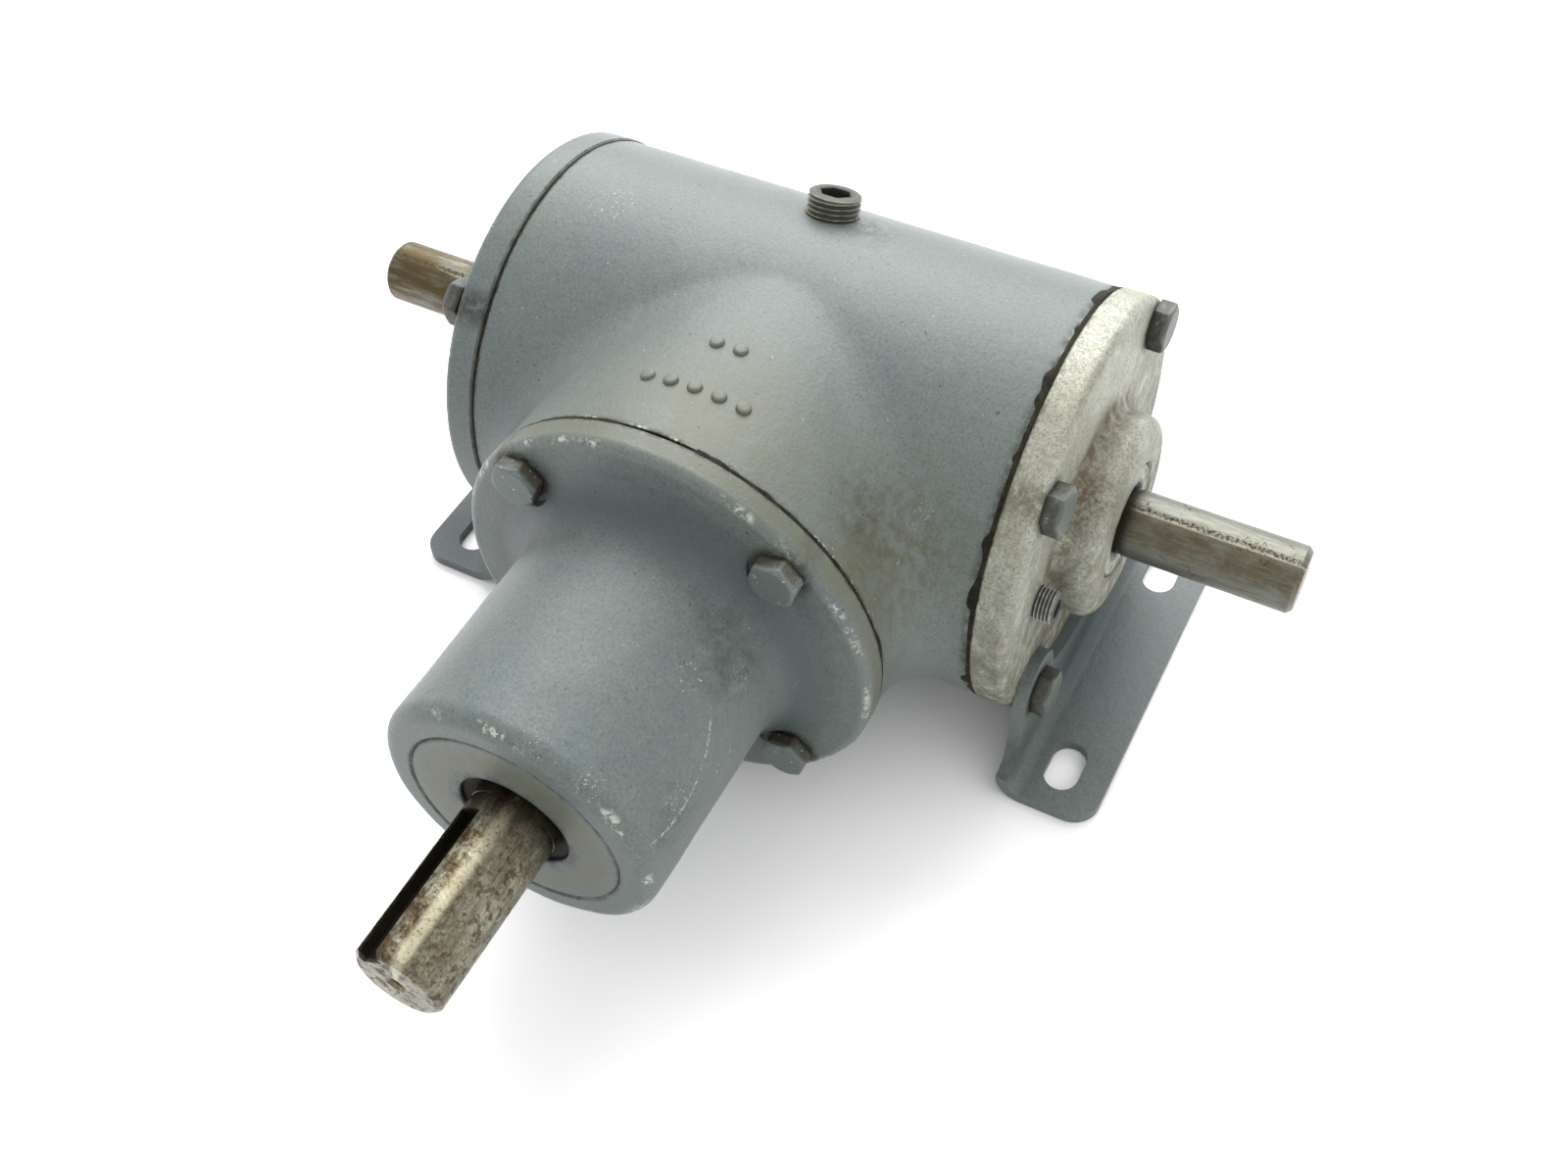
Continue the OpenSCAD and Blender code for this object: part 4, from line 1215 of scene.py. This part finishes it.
def flat_foot_outline():
    """The foot before bending: x along the foot, y from the upright leg, which has
    negative y, past the bend to the edge of the foot"""
    leg_half, ear_r, arch_r, corner = 52, 12, 48, 8.5
    flare = FOOT_HALF - leg_half
    ear_y = BEND_OUT - (AXIS_H - BOLT_AT)
    axis_y = BEND_OUT - AXIS_H
    edge_y = BEND_LEN + FOOT_REACH - COVER_FACE - BEND_OUT
    to_axis = math.hypot(BOLT_AT, BOLT_AT)
    share = (to_axis ** 2 + ear_r ** 2 - arch_r ** 2) / (2 * to_axis * ear_r)
    stop = -45 + math.degrees(math.acos(share))
    meet = (-BOLT_AT + ear_r * math.cos(math.radians(stop)),
            ear_y + ear_r * math.sin(math.radians(stop)))
    meet_angle = math.degrees(math.atan2(meet[1] - axis_y, meet[0]))
    half = (
        arc(-(FOOT_HALF - corner), edge_y - corner, corner, 90, 180, 8)
        + [(-FOOT_HALF, BEND_LEN), (-FOOT_HALF, BEND_LEN / 2)]
        + arc(-FOOT_HALF, -flare, flare, 90, 0, 8)
        + arc(-BOLT_AT, ear_y, ear_r, 180, 360 + stop, 24)
        + arc(0, axis_y, arch_r, meet_angle, 90, 14)[1:])
    mirrored = [(-x, y) for x, y in reversed(half)][1:]
    return half + mirrored


def bent(mesh):
    """Bends the flat foot, whose outer side is at local z = 0"""
    work = bmesh.new()
    work.from_mesh(mesh)
    bmesh.ops.triangulate(work, faces=work.faces)
    steps = 12
    for i in range(steps + 1):
        geometry = work.verts[:] + work.edges[:] + work.faces[:]
        bmesh.ops.bisect_plane(work, geom=geometry, dist=1e-4,
                               plane_co=(0, BEND_LEN * i / steps, 0), plane_no=(0, 1, 0))
    centre_y = COVER_FACE + BEND_OUT
    for vert in work.verts:
        x, along, inside = vert.co
        radius = BEND_OUT - inside
        if along <= 0:
            y, z = centre_y - radius, BEND_OUT - along
        elif along >= BEND_LEN:
            y, z = centre_y + along - BEND_LEN, BEND_OUT - radius
        else:
            turn = along / BEND_LEN * math.pi / 2
            y = centre_y - radius * math.cos(turn)
            z = BEND_OUT - radius * math.sin(turn)
        vert.co = (x, y, z)
    bmesh.ops.recalc_face_normals(work, faces=work.faces)
    result = bpy.data.meshes.new("bent")
    work.to_mesh(result)
    work.free()
    return result


def foot_mesh():
    slot_w, slot_len, slot_x, slot_y = 10.5, 18, 42.5, 107.5
    plate = prism(flat_foot_outline(), PLATE_T)
    ends = (slot_len - slot_w) / 2
    stadium = (arc(ends, 0, slot_w / 2, -90, 90, 12) + arc(-ends, 0, slot_w / 2, 90, 270, 12))
    slot = moved(prism(stadium, PLATE_T + 2), Matrix.Translation((0, 0, -1)))
    hole = rod(BOLT_R + 0.5, -1, PLATE_T + 1, 32)
    along = BEND_LEN + slot_y - COVER_FACE - BEND_OUT
    hole_y = BEND_OUT - (AXIS_H - BOLT_AT)
    cutters = []
    for side in (-1, 1):
        cutters.append(moved(slot, Matrix.Translation((side * slot_x, along, 0))))
        cutters.append(moved(hole, Matrix.Translation((side * BOLT_AT, hole_y, 0))))
    plate = cut(plate, cutters)
    bevel = {"width": 0.45, "segments": 3, "limit_method": "ANGLE",
             "angle_limit": math.radians(50), "material": 1}
    plate.materials.append(None)
    plate.materials.append(None)
    plate = shaped(plate, [("BEVEL", bevel)])
    return bent(plate)


def build_feet():
    look = paint("housing_paint_foot", bolts=("Y", COVER_FACE + PLATE_T),
                 grimy=[spot((50, COVER_FACE + 3, 12), 14)],
                 # deep: painted shade low on the feet, near the floor and under the cover.
                 deep=[spot((46, -112, 2), 34), spot((0, COVER_FACE + 2, 6), 60)])
    edge = paint("housing_paint_foot_edge", edges=[spot((0, 0, 30), 400)],
                 worn=[spot((0, 0, 30), 400)])
    mesh = foot_mesh()
    mirror = Matrix.Scale(-1, 4, (0, 1, 0))
    for name, node, way in (("right_foot", "right_foot_bracket", Matrix.Identity(4)),
                            ("left_foot", "left_foot_bracket", mirror)):
        piece(name, moved(mesh, way), look, [node], edge_look=edge)


# ---- Inner pieces, which keep their CAD shapes ----------------------------------

def build_inner_looks():
    looks = {
        "bearing_steel": plain_metal("bearing_steel", tone(205, 206, 208), tone(170, 168, 160), 0.16),
        "cage_brass": plain_metal("cage_brass", tone(206, 170, 96), tone(150, 116, 60), 0.30),
        "dark_steel": plain_metal("dark_steel", tone(86, 84, 78), tone(54, 52, 46), 0.38),
        "gear_steel": plain_metal("gear_steel", tone(150, 150, 150), tone(96, 92, 84), 0.26),
        "shaft_steel": plain_metal("key_steel", tone(190, 188, 182), tone(140, 134, 120), 0.28)}
    slots = {part["node"]: part["material_slot"] for part in frame["record"]["subparts"]}
    for name, thing in frame["nodes"].items():
        look = looks.get(slots[name])
        if look:
            thing.data.materials.clear()
            thing.data.materials.append(look)


# ---- Stage ----------------------------------------------------------------------

def build_floor():
    mesh = bpy.data.meshes.new("floor")
    half, below = 4.0, -0.0004
    mesh.from_pydata([(-half, -half, below), (half, -half, below), (half, half, below),
                      (-half, half, below)], [], [(0, 1, 2, 3)])
    floor = bpy.data.objects.new("floor", mesh)
    bpy.context.scene.collection.objects.link(floor)
    look = Look("pale_floor")
    grain = look.noise(60, 2, 0.5)
    color = look.mix(grain, tone(243, 243, 243), tone(247, 247, 247))
    mesh.materials.append(look.done(color, 0.75))


def area_light(name, place, aim, size, watts):
    light = bpy.data.lights.new(name, "AREA")
    light.shape = "RECTANGLE"
    light.size, light.size_y = size
    light.energy = watts
    thing = bpy.data.objects.new(name, light)
    thing.location = place
    thing.rotation_euler = (Vector(aim) - Vector(place)).to_track_quat("-Z", "Y").to_euler()
    bpy.context.scene.collection.objects.link(thing)


def build_lights():
    world = bpy.data.worlds.new("studio")
    bpy.context.scene.world = world
    world.use_nodes = True
    background = world.node_tree.nodes["Background"]
    background.inputs["Color"].default_value = (1, 1, 1, 1)
    background.inputs["Strength"].default_value = 1.3
    area_light("key", (-0.75, -0.25, 0.88), (0.03, 0, 0.07), (1.1, 1.1), 24)
    area_light("fill_right", (0.25, 1.1, 0.75), (0, 0, 0.07), (0.7, 0.7), 1)


def build_camera():
    """Camera above the free end of the pinion shaft, aimed by its own three axes"""
    right = Vector((-0.4678, 0.8830, -0.0369))
    up = Vector((-0.6957, -0.3421, 0.6316))
    back = Vector((0.5451, 0.3211, 0.7744))
    camera = bpy.data.cameras.new("camera")
    camera.lens = 38.28
    camera.sensor_width = 36
    camera.clip_start = 0.01
    thing = bpy.data.objects.new("camera", camera)
    turn = Matrix((right, up, back)).transposed().to_4x4()
    thing.matrix_world = Matrix.Translation((0.32042, 0.17594, 0.43197)) @ turn
    bpy.context.scene.collection.objects.link(thing)
    bpy.context.scene.camera = thing


build_camera()
build_lights()
build_floor()
build_housing()
build_covers()
build_gaskets()
build_pinion_housing()
build_seals()
build_shafts()
build_bolts()
build_plugs()
build_feet()
build_inner_looks()

bpy.context.scene.view_settings.view_transform = "Standard"
